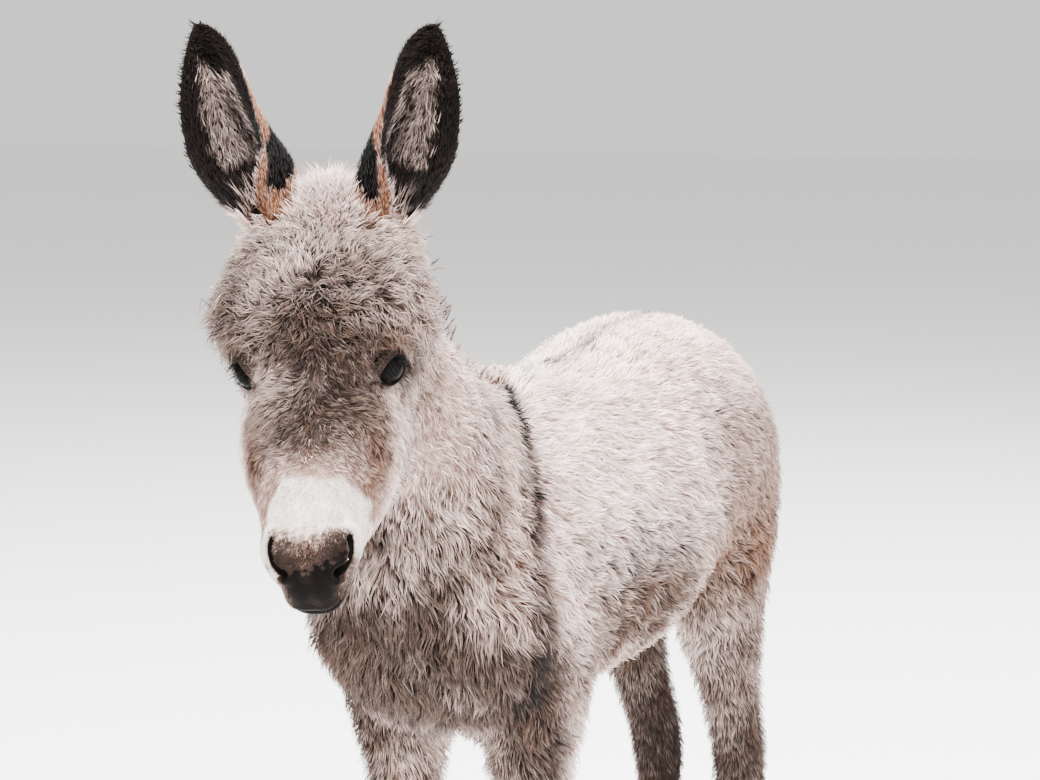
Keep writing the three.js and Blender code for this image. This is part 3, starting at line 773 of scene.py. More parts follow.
def bodyMarks(p):
    q = toHead(p)
    m = mirrored(q)
    x, y, z = m.T
    head = headShare(p)
    blotch, fleck = roughly(p, 0.055, 3), roughly(p, 0.016, 4)
    found = trunkMarks(p, 1 - head, blotch, fleck)
    dark, white, pale, rust, brown = (found[name] for name in markNames)

    front = ease(z, -0.045, -0.01)
    wool = ease(-y, 0.012, 0.056) * ease(y, -0.236, -0.20) * front
    middle = bell(x, 0.026) * ease(-y, 0.06, 0.10) * ease(y, -0.22, -0.18)
    browShadow, paleCheek = (
        bell(nearCurve(m, marks[name][0])[0], marks[name][1]) for name in ("browShadow", "paleCheek"))
    headBrown = wool * (0.64 + 0.20 * blotch + 0.36 * middle + 0.2 * bell(y + 0.128, 0.016) * front)
    # the painted shadow under the brow: browner here, darker in the marks below, and not pale
    headBrown += 0.9 * browShadow + 0.30 * (1 - front) * ease(y, -0.26, -0.21) + 0.12 * ease(y, -0.05, 0.0)
    brown = clamp(brown + head * headBrown)
    edge = marks["whiteEdge"] - 0.12 * clamp(x - 0.026) + 0.0022 * fleck
    edge = edge - 0.22 * np.clip(-z - 0.010, 0, 0.05) * ease(x, 0.03, 0.045)
    limit = np.where(q[:, 0] > 0, marks["leftWhite"], between(y, *marks["rightWhite"]))
    band = head * ease(edge - y, -0.004, 0.006) * ease(limit - x + 0.0012 * fleck, -0.001, 0.004)
    white = white + band * (1 - 0.45 * ease(-z, 0.02, 0.04) * ease(y, -0.285, -0.26))
    rust = rust + head * (0.80 * bump(m, *marks["rustCheek"]) + 0.45 * bump(m, *marks["rustLid"]))
    rust = clamp(rust * (1 - white))
    pale = np.maximum(pale, head * 0.95 * paleCheek) * (1 - 0.9 * browShadow)
    poll = 0.85 * ease(y + 0.006 * fleck, -0.036, -0.008) * (0.9 + 0.2 * blotch)
    pale = np.maximum.reduce([pale, head * poll, head * 0.8 * ease(-z, 0.07, 0.10)])
    fringe = fringeShare(p)
    rust = clamp(rust + head * 0.75 * fringe * (0.60 + 0.55 * roughly(p, 0.011, 15)))
    brown = brown * (1 - 0.9 * fringe)
    pale = clamp(np.maximum(pale * (1 - 0.5 * fringe), head * 0.35 * fringe))

    nose, streak, rim, chin, lips = noseMarks(p, q).values()
    beyond, ring = eyeBeyond(m)[:2]
    lids = ease(beyond, 8, 5) * ease(ring, 0.024, 0.020)
    # painted shade in a ring round the eye, reaching a little beyond the dark lids
    eyeRingShade = ease(beyond, 13, 8) * ease(ring, 0.026, 0.021)
    black = ease(nose, 0.36, 0.92) * (1 - 0.52 * streak) * (1 - 0.75 * rim)
    # painted shadow under the brow and painted shade round the eye go with the black nose, the lips and the
    # chin
    darkest = np.maximum.reduce([0.75 * browShadow, black, lips, eyeRingShade, 0.34 * chin])
    return {
        "dark": np.maximum(dark, head * darkest),
        "white": white * (1 - ease(nose, 0.03, 0.46)) * (1 - lips) * (1 - 0.85 * chin),
        "pale": pale * (1 - ease(nose, 0.1, 0.4)) * (1 - 0.8 * chin),
        "rust": np.maximum(rust, head * (0.55 * streak * ease(nose, 0.25, 0.6) + 0.30 * rim + 0.15 * chin)),
        "brown": np.maximum(brown, head * np.maximum(0.85 * ease(nose, 0.16, 0.66), 0.55 * chin)),
        "bare": head * clamp(ease(nose, 0.80, 0.92) + lips + lids),
    }


def earMarks(p, side, up, rim, inside):
    # rim runs from -1 to 1; turned here so that it grows towards the other ear
    inward = -rim if side == "left" else rim
    fleck = roughly(p, 0.012, 5)
    within = inside > 0.5
    inRim = np.where(inward > 0, between(up, [0.3, 0.55, 0.8], [0.76, 0.56, 0.44]), 0.66)
    rimAt = np.where(within, inRim, np.where(inward > 0, 0.93, 0.80))
    edgeBand = ease(np.abs(rim) + 0.02 * fleck, rimAt - 0.045, rimAt + 0.045)
    edgeBand = edgeBand * ease(up, np.where(inward > 0, 0.22, 0.02), np.where(inward > 0, 0.32, 0.10))
    tipAt = np.where(within, 0.74 - 0.12 * inward, 0.72)
    tip = ease(up + 0.02 * fleck, tipAt - 0.035, tipAt + 0.035)
    # a black patch low on the back, towards the other ear, pointed at its top
    patch = ease(inward + 0.03 * fleck - between(up, [0.34, 0.52], [0.12, 0.80]), 0, 0.06)
    patch = patch * ease(between(up, [0.31, 0.38, 0.48], [0.93, 0.68, 0.55]) - inward, 0, 0.05)
    patch = patch * ease(up + 0.015 * fleck - between(inward, [0.45, 0.75], [0.11, 0.05]), 0, 0.04)
    # in the hollow a dark pit, a dark line up the middle and a dark outer foot
    across, high = marks["earPit"]
    pit = 1.2 * bell(inward - across, 0.34) * bell(up - high, 0.12)
    line = bell(inward - 0.05 - 0.05 * fleck, 0.15) * ease(up, 0.2, 0.3) * ease(0.78 - up, 0, 0.3)
    foot = 0.9 * ease(up, 0.24, 0.18) * ease(inward, 0.22, 0.02) * ease(up + 0.01 * fleck, 0.0, 0.05)
    hollow = np.maximum.reduce([pit, 0.75 * line * (0.8 + 0.4 * fleck), foot])
    dark = clamp(np.maximum.reduce([edgeBand, tip, np.where(within, hollow, patch)]))
    base = ease(0.10 - up + 0.02 * fleck, 0, 0.08)
    medial = ease(inward, -0.15, 0.2) * ease(0.72 - up, 0, 0.12)
    rust = np.where(within, 0.25 + 0.60 * base * (0.7 + 0.5 * fleck), 0.20 + 0.80 * medial)
    return {
        "dark": dark,
        "white": plain(up),
        "pale": np.where(within, 0.10 + 0.15 * base, 0.7 * base * (1 - medial)),
        "rust": rust * (1 - dark),
        "brown": np.where(within, 0.90 - 0.45 * base, 0.45 * (1 - medial) * (1 - base)),
        "bare": 0.4 * within * (1 - base),
    }


# The skin object: body, ears and lids in one.
ears = {side: makeEar(side) for side in ("left", "right")}
lids = {side: makeLids(side) for side in ("left", "right")}


def assembleSkin():
    parts, faceRows, masks, along = [], [], [], []
    base = 0

    def add(points, faces, found, smooth):
        nonlocal base
        parts.append(points)
        faceRows.extend([[base + i for i in face] for face in faces])
        masks.append(found)
        along.append(smooth)
        base += len(points)

    found = bodyMarks(bodyCoords)
    slit = valuesOf(bodyMesh, "slit")
    for name, value in (("dark", 1.0), ("bare", 1.0), ("white", 0.0), ("pale", 0.0)):
        found[name] = mix(found[name], value, slit)
    add(bodyCoords, [tuple(f.vertices) for f in bodyMesh.polygons], found, found["bare"])
    for side in ("left", "right"):
        points, faces, up, rim, inside = ears[side]
        found = earMarks(points, side, up, rim, inside)
        add(points, faces.tolist(), found, 0.25 + 0.5 * found["bare"])
        points, faces, edge = lids[side]
        near = 1 - ease(edge, 5, 8)
        found = bodyMarks(points)
        found["dark"] = np.maximum(near, 0.4 * found["dark"])
        add(points, faces.tolist(), found, near)
    points = np.concatenate(parts)
    mesh = bpy.data.meshes.new("skin")
    mesh.from_pydata(points.tolist(), [], faceRows)
    smoothShade(mesh)
    for name in markNames:
        put(mesh, name, np.concatenate([m[name] for m in masks]))
    put(mesh, "along", np.concatenate(along))
    put(mesh, "tone", 0.35 * roughly(points, 0.02, 11))
    return link(bpy.data.objects.new("skin", mesh))


skin = assembleSkin()
print("skin whole", len(skin.data.vertices))

# The tufts.
tuft = {
    # locks bend and curl; hairs are straight, short and many. Spacing from root to root, and widths.
    # How far they gather and curl is given for the body and for the head.
    "locks": {
        "rings": 2, "body": 0.0051, "leg": 0.0072, "head": 0.0021, "face": 0.0040, "wide": 0.0016,
        "long": 1.12, "flat": 1.0, "gather": (0.50, 0.72), "curl": (0.13, 0.28)},
    "hairs": {
        "rings": 1, "body": 0.00238, "leg": 0.0028, "head": 0.0017, "face": 0.00125, "wide": 0.0012,
        "long": 0.95, "flat": 0.92, "gather": (0.36, 0.36), "curl": (0.08, 0.08)},
}


def scatter(mesh, spacing):
    # roots spread evenly, at about the given spacing from point to point
    mesh.calc_loop_triangles()
    tris = np.empty(len(mesh.loop_triangles) * 3, np.int32)
    mesh.loop_triangles.foreach_get("vertices", tris)
    tris = tris.reshape(-1, 3)
    points, normals = coordsOf(mesh), normalsOf(mesh)
    a, b, c = (points[tris[:, k]] for k in range(3))
    area = 0.5 * np.linalg.norm(np.cross(b - a, c - a), axis=1)
    load = area / (spacing[tris].mean(1) ** 2)
    total = np.cumsum(load)
    count = int(total[-1])
    pick = np.searchsorted(total, (np.arange(count) + dice.random(count)) * total[-1] / count)
    pick = np.minimum(pick, len(tris) - 1)
    u, v = dice.random((2, count))
    flip = u + v > 1
    u, v = np.where(flip, 1 - u, u), np.where(flip, 1 - v, v)
    share = np.stack([1 - u - v, u, v], -1)
    corners = tris[pick]
    roots = (points[corners] * share[..., None]).sum(1)
    return roots, unit((normals[corners] * share[..., None]).sum(1)), corners, share


def clumps(roots, size):
    # for each root, the root that leads its clump
    order = dice.permutation(len(roots))
    taken, leads = set(), []
    cells = np.floor(roots[order] / size[order][:, None] / 0.8).astype(int)
    for i, cell in zip(order, map(tuple, cells)):
        if cell not in taken:
            taken.add(cell)
            leads.append(i)
    tree = KDTree(len(leads))
    for i, lead in enumerate(leads):
        tree.insert(roots[lead], i)
    tree.balance()
    nearest = np.fromiter((tree.find(r)[1] for r in roots.tolist()), np.int64, len(roots))
    return np.array(leads)[nearest]


def growTufts(
        roots, normals, lie, length, lift, wide, gather, clumpSize, curl, rings=2, sink=0.0012, shape=1.35):
    # every tuft starts steeply, bends over along the coat and ends in a point
    count = len(roots)
    lead = clumps(roots, clumpSize)
    gather = np.broadcast_to(gather, (count,))
    lie = unit(lie - normals * (lie * normals).sum(1, keepdims=True))
    reach = np.sqrt(np.maximum(length**2 - lift**2, (0.3 * length) ** 2))
    across = np.cross(normals, lie)
    sway = curl * dice.normal(size=count)
    ts = np.linspace(0, 1, rings + 1)
    path = []
    for t in ts:
        out = reach * t**shape
        rise = lift * (1 - (1 - t) ** 2) - sink * (1 - t)
        bend = sway * np.sin(np.pi * t) + 0.6 * sway * t
        own = roots + lie * out[:, None] + normals * rise[:, None] + across * bend[:, None]
        led = roots[lead] + lie[lead] * out[lead][:, None] + normals[lead] * rise[lead][:, None]
        led = led + across[lead] * bend[lead][:, None]
        pull = (led - own) - normals * ((led - own) * normals).sum(1, keepdims=True)
        far = np.linalg.norm(led - own, axis=1, keepdims=True)
        pull = pull * np.minimum(1, 1.6 * clumpSize[:, None] / (far + 1e-9))
        path.append(own + pull * (gather * t**1.2)[:, None])
    path = np.stack(path, 1)
    rows, along = [], []
    profile = {1: [1.0], 2: [0.75, 1.0], 3: [0.7, 1.0, 0.72], 4: [0.7, 1.0, 0.9, 0.6]}[rings]
    for i in range(rings):
        forward = unit(path[:, i + 1] - path[:, max(i - 1, 0)])
        sideways = unit(np.cross(forward, normals))
        top = np.cross(sideways, forward)
        half = (wide * profile[i] * 0.5)[:, None]
        rows += [path[:, i] + sideways * half, path[:, i] + top * half * 0.8, path[:, i] - sideways * half]
        along += [ts[i]] * 3
    rows.append(path[:, -1])
    along.append(1.0)
    faces = [(0, 1, 2)]
    for i in range(rings - 1):
        for j in range(3):
            a, b = 3 * i + j, 3 * i + (j + 1) % 3
            faces += [(a, a + 3, b + 3), (a, b + 3, b)]
    last, end = 3 * (rings - 1), 3 * rings
    faces += [(last + j, end, last + (j + 1) % 3) for j in range(3)]
    return {
        "points": np.stack(rows, 1),
        "faces": np.array(faces),
        "along": np.array(along),
        "sides": np.array([1, 0, -1] * rings + [0]) * 1.0,
        "lead": lead,
    }


def dressed(grown, masks, tone, place):
    # tufts with their colour masks, their tone and their place on the colour map
    return {**grown, "masks": masks, "tone": tone, "place": place}


def coatPiece(name, layers, material, replaced=()):
    # layers are pairs: dressed tufts, and which of them belong to this piece
    points, faces, maps, attributes = [], [], [], {}
    base = tufts = 0
    for grown, chosen in layers:
        count, each = len(chosen), grown["points"].shape[1]
        own = (grown["faces"][None] + (np.arange(count) * each)[:, None, None]).reshape(-1, 3)
        # the colour map: a small patch for each tuft, where its root lies on the unrolled skin
        patch = 0.0015 * np.stack([grown["sides"], grown["along"] * 2 - 1], -1)
        flat = np.clip(grown["place"][chosen], 0.004, 0.996)[:, None] + patch
        points.append(grown["points"][chosen].reshape(-1, 3))
        faces.append(own + base)
        maps.append(flat.reshape(-1, 2)[own.reshape(-1)])
        for key in markNames:
            attributes.setdefault(key, []).append(np.repeat(grown["masks"][key][chosen], each))
        attributes.setdefault("along", []).append(np.tile(grown["along"], count))
        attributes.setdefault("tone", []).append(np.repeat(grown["tone"][chosen], each))
        base += count * each
        tufts += count
    mesh = meshFrom(name, np.concatenate(points), np.concatenate(faces), 3)
    smoothShade(mesh)
    for key, values in attributes.items():
        put(mesh, key, np.concatenate(values))
    colourMap = np.concatenate(maps).astype(np.float32).ravel()
    mesh.uv_layers.new(name="OFBake").data.foreach_set("uv", colourMap)
    mesh.materials.append(material)
    piece = link(bpy.data.objects.new(name, mesh))
    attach(piece, "root")
    if replaced:
        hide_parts(*replaced)
    print("coat piece", name, tufts, "tufts", len(mesh.polygons), "triangles")
    return piece


# How the coat lies, how long and how thick it is, place by place.
hairLength = {
    "body": 0.0170, "neck": 0.0180, "chest": 0.021, "belly": 0.030, "tail": 0.018, "cheek": 0.012,
    "earFringe": 0.019,
    "leg": ([0.03, 0.05, 0.10, 0.26, 0.44], [0.008, 0.0115, 0.0085, 0.011, 0.015]),
    "head": (
        [-0.316, -0.25, -0.225, -0.19, -0.15, -0.12, 0.03],
        [0.0028, 0.0042, 0.0062, 0.0085, 0.0105, 0.0150, 0.0165]),
    "brow": (0.009, (0.084, -0.098, 0.002), (0.026, 0.032, 0.030)),
    "jaw": (-0.26, -0.18),
    "lids": ([6, 16, 45], [0.36, 0.60, 0.95]),  # by the degrees beyond the opening
    "nostrils": ([0.004, 0.012], [0.45, 1.0]),
}
whorl = -0.082  # where the coat parts on the forehead


def lieField(p, normals):
    q = toHead(p)
    x, y, z = q.T

    def way(*parts):
        return np.stack([plain(p, part) for part in parts], -1)

    def turned(flow, share, *parts):
        return mix(flow, way(*parts), share[:, None])

    flow = way(0, 1, -0.25 - 0.55 * ease(np.abs(normals[:, 0]), 0.3, 0.9))
    flow += ease(p[:, 1], 0.22, 0.36)[:, None] * np.array([0, -0.75, -0.7])
    flow = turned(flow, ease(p[:, 1], -0.08, -0.17), 0, 0.40, -0.95)
    under = ease(p[:, 2], 0.53, 0.48) * (1 - legShare(p)) * ease(p[:, 1], -0.17, -0.10)
    flow += under[:, None] * np.array([0, -0.2, -0.9])
    flow = turned(flow, np.maximum(legShare(p), tailShare(p)), 0, 0.12, -1)

    sign = np.sign(x) * np.minimum(1, np.abs(x) / 0.012)
    far = np.hypot(x, y - whorl)
    headFlow = way(x, 0.9 * (y - whorl), 0)
    headFlow = unit(headFlow + 0.3 * np.cross(headFlow, (0, 0, 1)))
    # further out the locks turn sideways and droop
    headFlow = turned(headFlow, 0.6 * ease(far, 0.025, 0.055), 0.9 * sign, -0.35, -0.2)
    down, cheek, nose = ease(-y, 0.115, 0.155), ease(-z, 0.015, 0.05), ease(-y, 0.228, 0.25)
    headFlow = turned(headFlow, down, 0.85 * sign, -0.55, -0.15)
    sideways = ease(np.abs(x), 0.050, 0.075) * ease(z, 0.045, 0.01)
    headFlow = turned(headFlow, sideways, 0.25 * sign, -0.45, -0.9)
    headFlow = turned(headFlow, cheek, 0, -0.35, -0.95)
    headFlow = turned(headFlow, nose, 0.5 * sign, -1, -0.2)
    # round the eye the hair runs away from the lids
    away, ring = fromEye(mirrored(q))
    lidShare = bell((ring / 0.026) ** 2, 1) * ease(z - eye["centre"][2], 0.018, 0.004)
    headFlow = turned(headFlow, lidShare, away[:, 0] * np.sign(x), away[:, 1] - 0.4, away[:, 2] - 0.3)
    share = headShare(p)
    flow = unit(mix(flow, headFlow @ headAxes.T, share[:, None]))
    # slow waves turn the wool this way and that, most on the flank and rump
    waves = 0.42 + 0.45 * share * (1 - down) * (1 - cheek)
    waves = waves * (1 - 0.6 * legShare(p)) * (1 - 0.8 * nose * share)
    turn = waves * (roughly(p, 0.040, 21) + 0.8 * roughly(p, 0.014, 22))
    turn += 2.2 * share * bell(far, 0.020) * ease(z, -0.01, 0.01) * roughly(p, 0.010, 23)
    return unit(flow + np.cross(normals, flow) * turn[:, None])


def lengthField(p):
    q = toHead(p)
    belly = ease(p[:, 2], 0.52, 0.48) * ease(p[:, 1], -0.12, -0.05) * ease(0.26 - p[:, 1], 0, 0.06)
    length = overBody(p, hairLength, belly * (1 - legShare(p)), overHead(q, hairLength))
    length = mix(length, hairLength["earFringe"], fringeShare(p) * headShare(p))
    beyond, ring = eyeBeyond(mirrored(q))[:2]
    length = length * (1 - ease(ring, 0.034, 0.024) * (1 - between(beyond, *hairLength["lids"])))
    return length * between(nostrilNear(q)[0], *hairLength["nostrils"])


def spacingField(p, kind):
    q = toHead(p)
    face, top = tuft[kind]["face"], tuft[kind]["head"]
    head = between(q[:, 1], [-0.20, -0.14, -0.11, 0.0], [face, 0.5 * (face + top), top, 1.1 * top])
    head = head * (1 + 0.85 * ease(-q[:, 2], 0.04, 0.08))
    head = head * (1 - 0.25 * bump(q, (0.0, whorl, 0.04), (0.016, 0.016, 0.03)))
    space = mix(mix(tuft[kind]["body"], tuft[kind]["leg"], legShare(p)), head, headShare(p))
    space = space * between(fromEye(mirrored(q))[1], [0.022, 0.034], [0.75, 1.0])
    # no tufts on the eyeball, the nostrils and the lips
    return np.where((p[:, 2] < 0.034) | (bodyMarks(p)["bare"] > 0.5), 1.0, space)


regionNames = [
    "coat_head_left", "coat_head_right", "coat_face", "coat_cheeks", "coat_neck_left", "coat_neck_right",
    "coat_chest", "coat_barrel_left", "coat_barrel_right", "coat_rump_left", "coat_rump_right",
    "coat_forelegs", "coat_hindlegs",
]


def regionOf(p):
    # each root belongs to the first coat piece that takes its place in
    q = toHead(p)
    across, along, height = p.T
    head = headShare(p) > 0.5
    rules = {
        "coat_face": head & (q[:, 1] < -0.150) & (q[:, 2] > -0.03),
        "coat_cheeks": head & (q[:, 2] < -0.03),
        "coat_head_left": head & (q[:, 0] > 0),
        "coat_head_right": head,
        "coat_forelegs": (height < 0.45) & (along < 0.10),
        "coat_hindlegs": (height < 0.48) & (along > 0.17),
        "coat_chest": (along < -0.10) & (height < 0.60),
        "coat_neck_left": (along < -0.13) & (across > 0),
        "coat_neck_right": along < -0.13,
        "coat_barrel_left": (along < 0.15) & (across > 0),
        "coat_barrel_right": along < 0.15,
        "coat_rump_left": across > 0,
        "coat_rump_right": across <= 0,
    }
    return np.select(list(rules.values()), [regionNames.index(name) for name in rules], -1)


def unroll(name, p):
    # the skin of the region laid flat: round the body, and along it
    q = toHead(p)
    if name in ("coat_head_left", "coat_head_right", "coat_face", "coat_cheeks"):
        across = np.arctan2(q[:, 0], -q[:, 2] - 0.02 if name == "coat_cheeks" else q[:, 2] + 0.05)
        length = q[:, 1] - 17.5 * clamp(-0.295 - q[:, 1]) * np.hypot(q[:, 0], q[:, 2])
    elif name.endswith("legs"):
        hind = between(p[:, 2], [0.05, 0.3, 0.5], [0.33, 0.36, 0.28])
        centre = -0.10 if name == "coat_forelegs" else hind
        across = np.arctan2(np.abs(p[:, 0]) - 0.06, p[:, 1] - centre) / (2 * np.pi) + 0.5
        across = across * 0.92 + np.where(p[:, 0] > 0, 1.04, 0)
        length = p[:, 2]
    elif name in ("coat_chest", "coat_neck_left", "coat_neck_right"):
        across, length = np.arctan2(p[:, 0], -(p[:, 1] + 0.10)), p[:, 2]
    else:
        across, length = np.arctan2(p[:, 0], p[:, 2] - 0.63), p[:, 1]
    flat = np.stack([across, length], -1)
    low, high = flat.min(0), flat.max(0)
    return (flat - low) / (high - low) * 0.985 + 0.0075


# Materials.
class Value:
    # a number worked out by the shader, so that sums can be written as sums
    def __init__(self, shader, socket):
        self.shader, self.socket = shader, socket

    def sum(self, operation, a, b):
        return self.shader.node("ShaderNodeMath", {"operation": operation}, {0: a, 1: b})

    def __add__(self, other):
        return self.sum("ADD", self, other)

    def __sub__(self, other):
        return self.sum("SUBTRACT", self, other)

    def __rsub__(self, other):
        return self.sum("SUBTRACT", other, self)

    def __mul__(self, other):
        return self.sum("MULTIPLY", self, other)

    def __truediv__(self, other):
        return self.sum("DIVIDE", self, other)

    def __pow__(self, other):
        return self.sum("POWER", self, other)

    __radd__, __rmul__ = __add__, __mul__

    def held(self):
        # kept between 0 and 1
        return self.sum("MINIMUM", self.sum("MAXIMUM", self, 0), 1)

    def ramp(self, low, high):
        return self.shader.node(
            "ShaderNodeMapRange", {"interpolation_type": "SMOOTHSTEP"},
            {"Value": self, "From Min": low, "From Max": high})


def paint(red, green, blue):
    # a colour as a person would pick it on a screen, made linear
    linear = [c / 12.92 if c <= 0.04045 else ((c + 0.055) / 1.055) ** 2.4 for c in (red, green, blue)]
    return (*linear, 1)


class Shader:
    def __init__(self, name, **finish):
        self.material = bpy.data.materials.new(name)
        self.material.use_nodes = True
        self.tree = self.material.node_tree
        self.surface = next(n for n in self.tree.nodes if n.type == "BSDF_PRINCIPLED")
        for key, value in finish.items():
            self.surface.inputs[key.replace("_", " ")].default_value = value

    def node(self, kind, settings=None, inputs=None, output=0):
        made = self.tree.nodes.new(kind)
        for key, value in (settings or {}).items():
            setattr(made, key, value)
        for key, value in (inputs or {}).items():
            self.feed(made.inputs[key], value)
        return Value(self, made.outputs[output])

    def feed(self, socket, value):
        if isinstance(value, Value):
            self.tree.links.new(value.socket, socket)
        else:
            socket.default_value = value

    def set(self, name, value):
        self.feed(self.surface.inputs[name], value)

    def read(self, name):
        return self.node("ShaderNodeAttribute", {"attribute_name": name}, output="Fac")

    def place(self):
        return self.node("ShaderNodeTexCoord", output="Object")

    def noise(self, size, detail=3, rough=0.55, stretch=None):
        # size is the width of one patch, in metres
        where = self.place()
        if stretch:
            where = self.node("ShaderNodeMapping", None, {"Vector": where, "Scale": stretch})
        return self.node(
            "ShaderNodeTexNoise", None,
            {"Vector": where, "Scale": 1 / size, "Detail": detail, "Roughness": rough})

    def blend(self, low, high, factor, how="MIX"):
        return self.node(
            "ShaderNodeMix", {"data_type": "RGBA", "blend_type": how}, {0: factor, 6: low, 7: high}, output=2)

    def bump(self, height, strength, depth):
        self.set("Normal", self.node(
            "ShaderNodeBump", None, {"Strength": strength, "Distance": depth, "Height": height}))


colours = {
    "base": (0.88, 0.775, 0.735),
    "brown": (0.315, 0.262, 0.238),
    "rust": (0.51, 0.365, 0.285),
    "pale": (0.965, 0.872, 0.845),
    "white": (0.965, 0.955, 0.945),
    "dark": (0.040, 0.033, 0.031),
    # root colours: the hair's own darker roots, with painted shade deep in the coat
    "deepBrown": (0.15, 0.115, 0.10),
    "rootTint": (0.54, 0.46, 0.42),
    "paleRootTint": (0.84, 0.79, 0.75),
}


def coatColours(shader, along):
    # the marks laid over each other, then darker towards the roots: the hair's own darker roots, and painted
    # shade deep in the coat
    grain = shader.noise(0.006, 2)
    gain = {"dark": 1.02, "white": 1.02}
    mark = {name: (shader.read(name) * (gain.get(name, 0.72) + 0.56 * grain)).held() for name in markNames}
    colour = paint(*colours["base"])
    for name in ("brown", "rust", "pale", "white", "dark"):
        colour = shader.blend(colour, paint(*colours[name]), mark[name])
    light = (mark["white"] + 0.7 * mark["pale"]).held()
    tint = shader.blend(paint(*colours["rootTint"]), paint(*colours["paleRootTint"]), light)
    root = shader.blend(colour, tint, 1.0, "MULTIPLY")
    root = shader.blend(root, paint(*colours["deepBrown"]), (1.25 * mark["brown"] * (1 - light)).held())
    tone = shader.read("tone")
    mixed = shader.blend(root, colour, (along.ramp(0.12, 0.90) + 0.42 * tone).held())
    return shader.node("ShaderNodeHueSaturation", None, {"Color": mixed, "Value": 1.0 + 0.16 * tone})


def coatMaterial(name):
    shader = Shader(name, Sheen_Weight=0.03, Sheen_Roughness=0.45, Specular_IOR_Level=0.06)
    shader.set("Base Color", coatColours(shader, shader.read("along")))
    streak = shader.noise(0.0011, 2)
    shader.set("Roughness", 0.62 + 0.25 * streak)
    shader.bump(streak, 0.35, 0.0006)
    return shader.material


def skinMaterial():
    shader = Shader("skin", Specular_IOR_Level=0.015)
    along = shader.read("along")
    # where hair covers it, the skin takes the dark root colour as painted shade between the tufts
    shader.set("Base Color", coatColours(shader, along))
    fur = shader.noise(0.0016, 4, 0.6)
    leather = shader.noise(0.0032, 3, 0.5)
    wet = (shader.read("dark") * along).held()
    shader.set("Roughness", 0.78 - 0.34 * wet + 0.12 * fur)
    shader.bump(fur * (1 - wet) + leather * wet, 0.5, 0.0012)
    return shader.material


def eyeMaterial():
    shader = Shader("eye", Specular_IOR_Level=0.018)
    across, up = shader.read("gazeAcross"), shader.read("gazeUp")
    out = (across * across + up * up) ** 0.5
    strands = shader.node(
        "ShaderNodeTexNoise", None, {"Vector": shader.place(), "Scale": 900.0, "Detail": 3.0})
    light = (strands * (1 - out)).held()
    iris = shader.blend(paint(0.018, 0.014, 0.013), paint(0.042, 0.029, 0.024), light)
    pupil = ((across * across / 0.13 + up * up / 0.045) ** 0.5).ramp(1.05, 0.85)
    colour = shader.blend(iris, paint(0.012, 0.012, 0.02), pupil)
    colour = shader.blend(colour, paint(0.03, 0.024, 0.024), out.ramp(0.70, 0.86))
    colour = shader.blend(colour, paint(0.06, 0.045, 0.04), out.ramp(0.93, 0.99) * 0.6)
    shader.set("Base Color", colour)
    shader.set("Roughness", 0.06 + 0.05 * strands)
    return shader.material


def hoofMaterial():
    shader = Shader("hoof", Roughness=0.55, Specular_IOR_Level=0.4)
    rings = shader.node(
        "ShaderNodeTexWave", {"bands_direction": "Z", "wave_profile": "SIN"},
        {"Vector": shader.place(), "Scale": 75.0, "Distortion": 1.6, "Detail": 2.0, "Detail Scale": 12.0})
    grain = shader.noise(0.003, 4, 0.6, stretch=(1, 1, 0.12))
    light = (0.35 * rings + 0.75 * grain - 0.1).held()
    colour = shader.blend(paint(0.20, 0.175, 0.16), paint(0.36, 0.32, 0.285), light)
    height = shader.node("ShaderNodeSeparateXYZ", None, {0: shader.place()}, output="Z")
    colour = shader.blend(colour, paint(0.50, 0.455, 0.41), height.ramp(0.010, 0.0) * 0.55)
    shader.set("Base Color", colour)
    shader.set("Roughness", 0.42 + 0.3 * grain)
    shader.bump(rings * 0.6 + grain, 0.5, 0.0012)
    return shader.material


coatLook = coatMaterial("coat")
maneLook = coatMaterial("mane")
skin.data.materials.append(skinMaterial())
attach(skin, "root")
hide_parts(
    "trunk", "neck", "head", "tail", "ear_left", "ear_right",
    "foreleg_left", "foreleg_right", "hindleg_left", "hindleg_right")

# The coat of the body and head.
def bodyLayer(kind):
    sizes = tuft[kind]
    spacing = np.where(valuesOf(bodyMesh, "slit") > 0.3, 1.0, spacingField(bodyCoords, kind))
    roots, normals, _, _ = scatter(bodyMesh, spacing)
    count = len(roots)
    headward = headShare(roots)
    usual = lengthField(roots)
    length = sizes["long"] * usual * dice.uniform(0.75, 1.2, count)
    # slow hills and hollows in the wool
    hill = sizes["flat"] * (0.82 + 0.18 * roughly(roots, 0.012, 51))
    lift = np.minimum(coatDepth(roots) * (1 + 0.8 * fringeShare(roots) * headward), length * 0.92)
    lift = lift * dice.uniform(0.72, 1.05, count) * hill
    short = ease(usual, 0.009, 0.004)
    wide = sizes["wide"] * (1 - 0.35 * headward) * (1 - 0.20 * legShare(roots)) * (1 - 0.25 * short)
    wide = wide * dice.uniform(0.7, 1.3, count)
    gather = mix(*sizes["gather"], headward) * (1 - 0.6 * short)
    grown = growTufts(
        roots, normals, lieField(roots, normals), length, lift, wide, gather,
        mix(0.0080, 0.0056, headward) * (1 - 0.35 * short), mix(*sizes["curl"], headward) * length,
        rings=sizes["rings"])
    leader = roots[grown["lead"]]
    tone = (0.18 + 0.10 * headward) * dice.normal(size=count) + 0.30 * roughly(roots, 0.028, 32)
    tone += (0.42 + 0.25 * headward) * roughly(leader, 0.007, 31) + 0.28 * (1 - headward)
    found = bodyMarks(roots)
    # some locks are tanned at their tips
    tanned = clamp(roughly(leader, 0.009, 61)) * (0.14 + 0.12 * headward)
    found["rust"] = clamp(found["rust"] + tanned * (1 - found["white"]) * (1 - found["dark"]))
    return dressed(grown, found, tone, np.zeros((count, 2))), roots


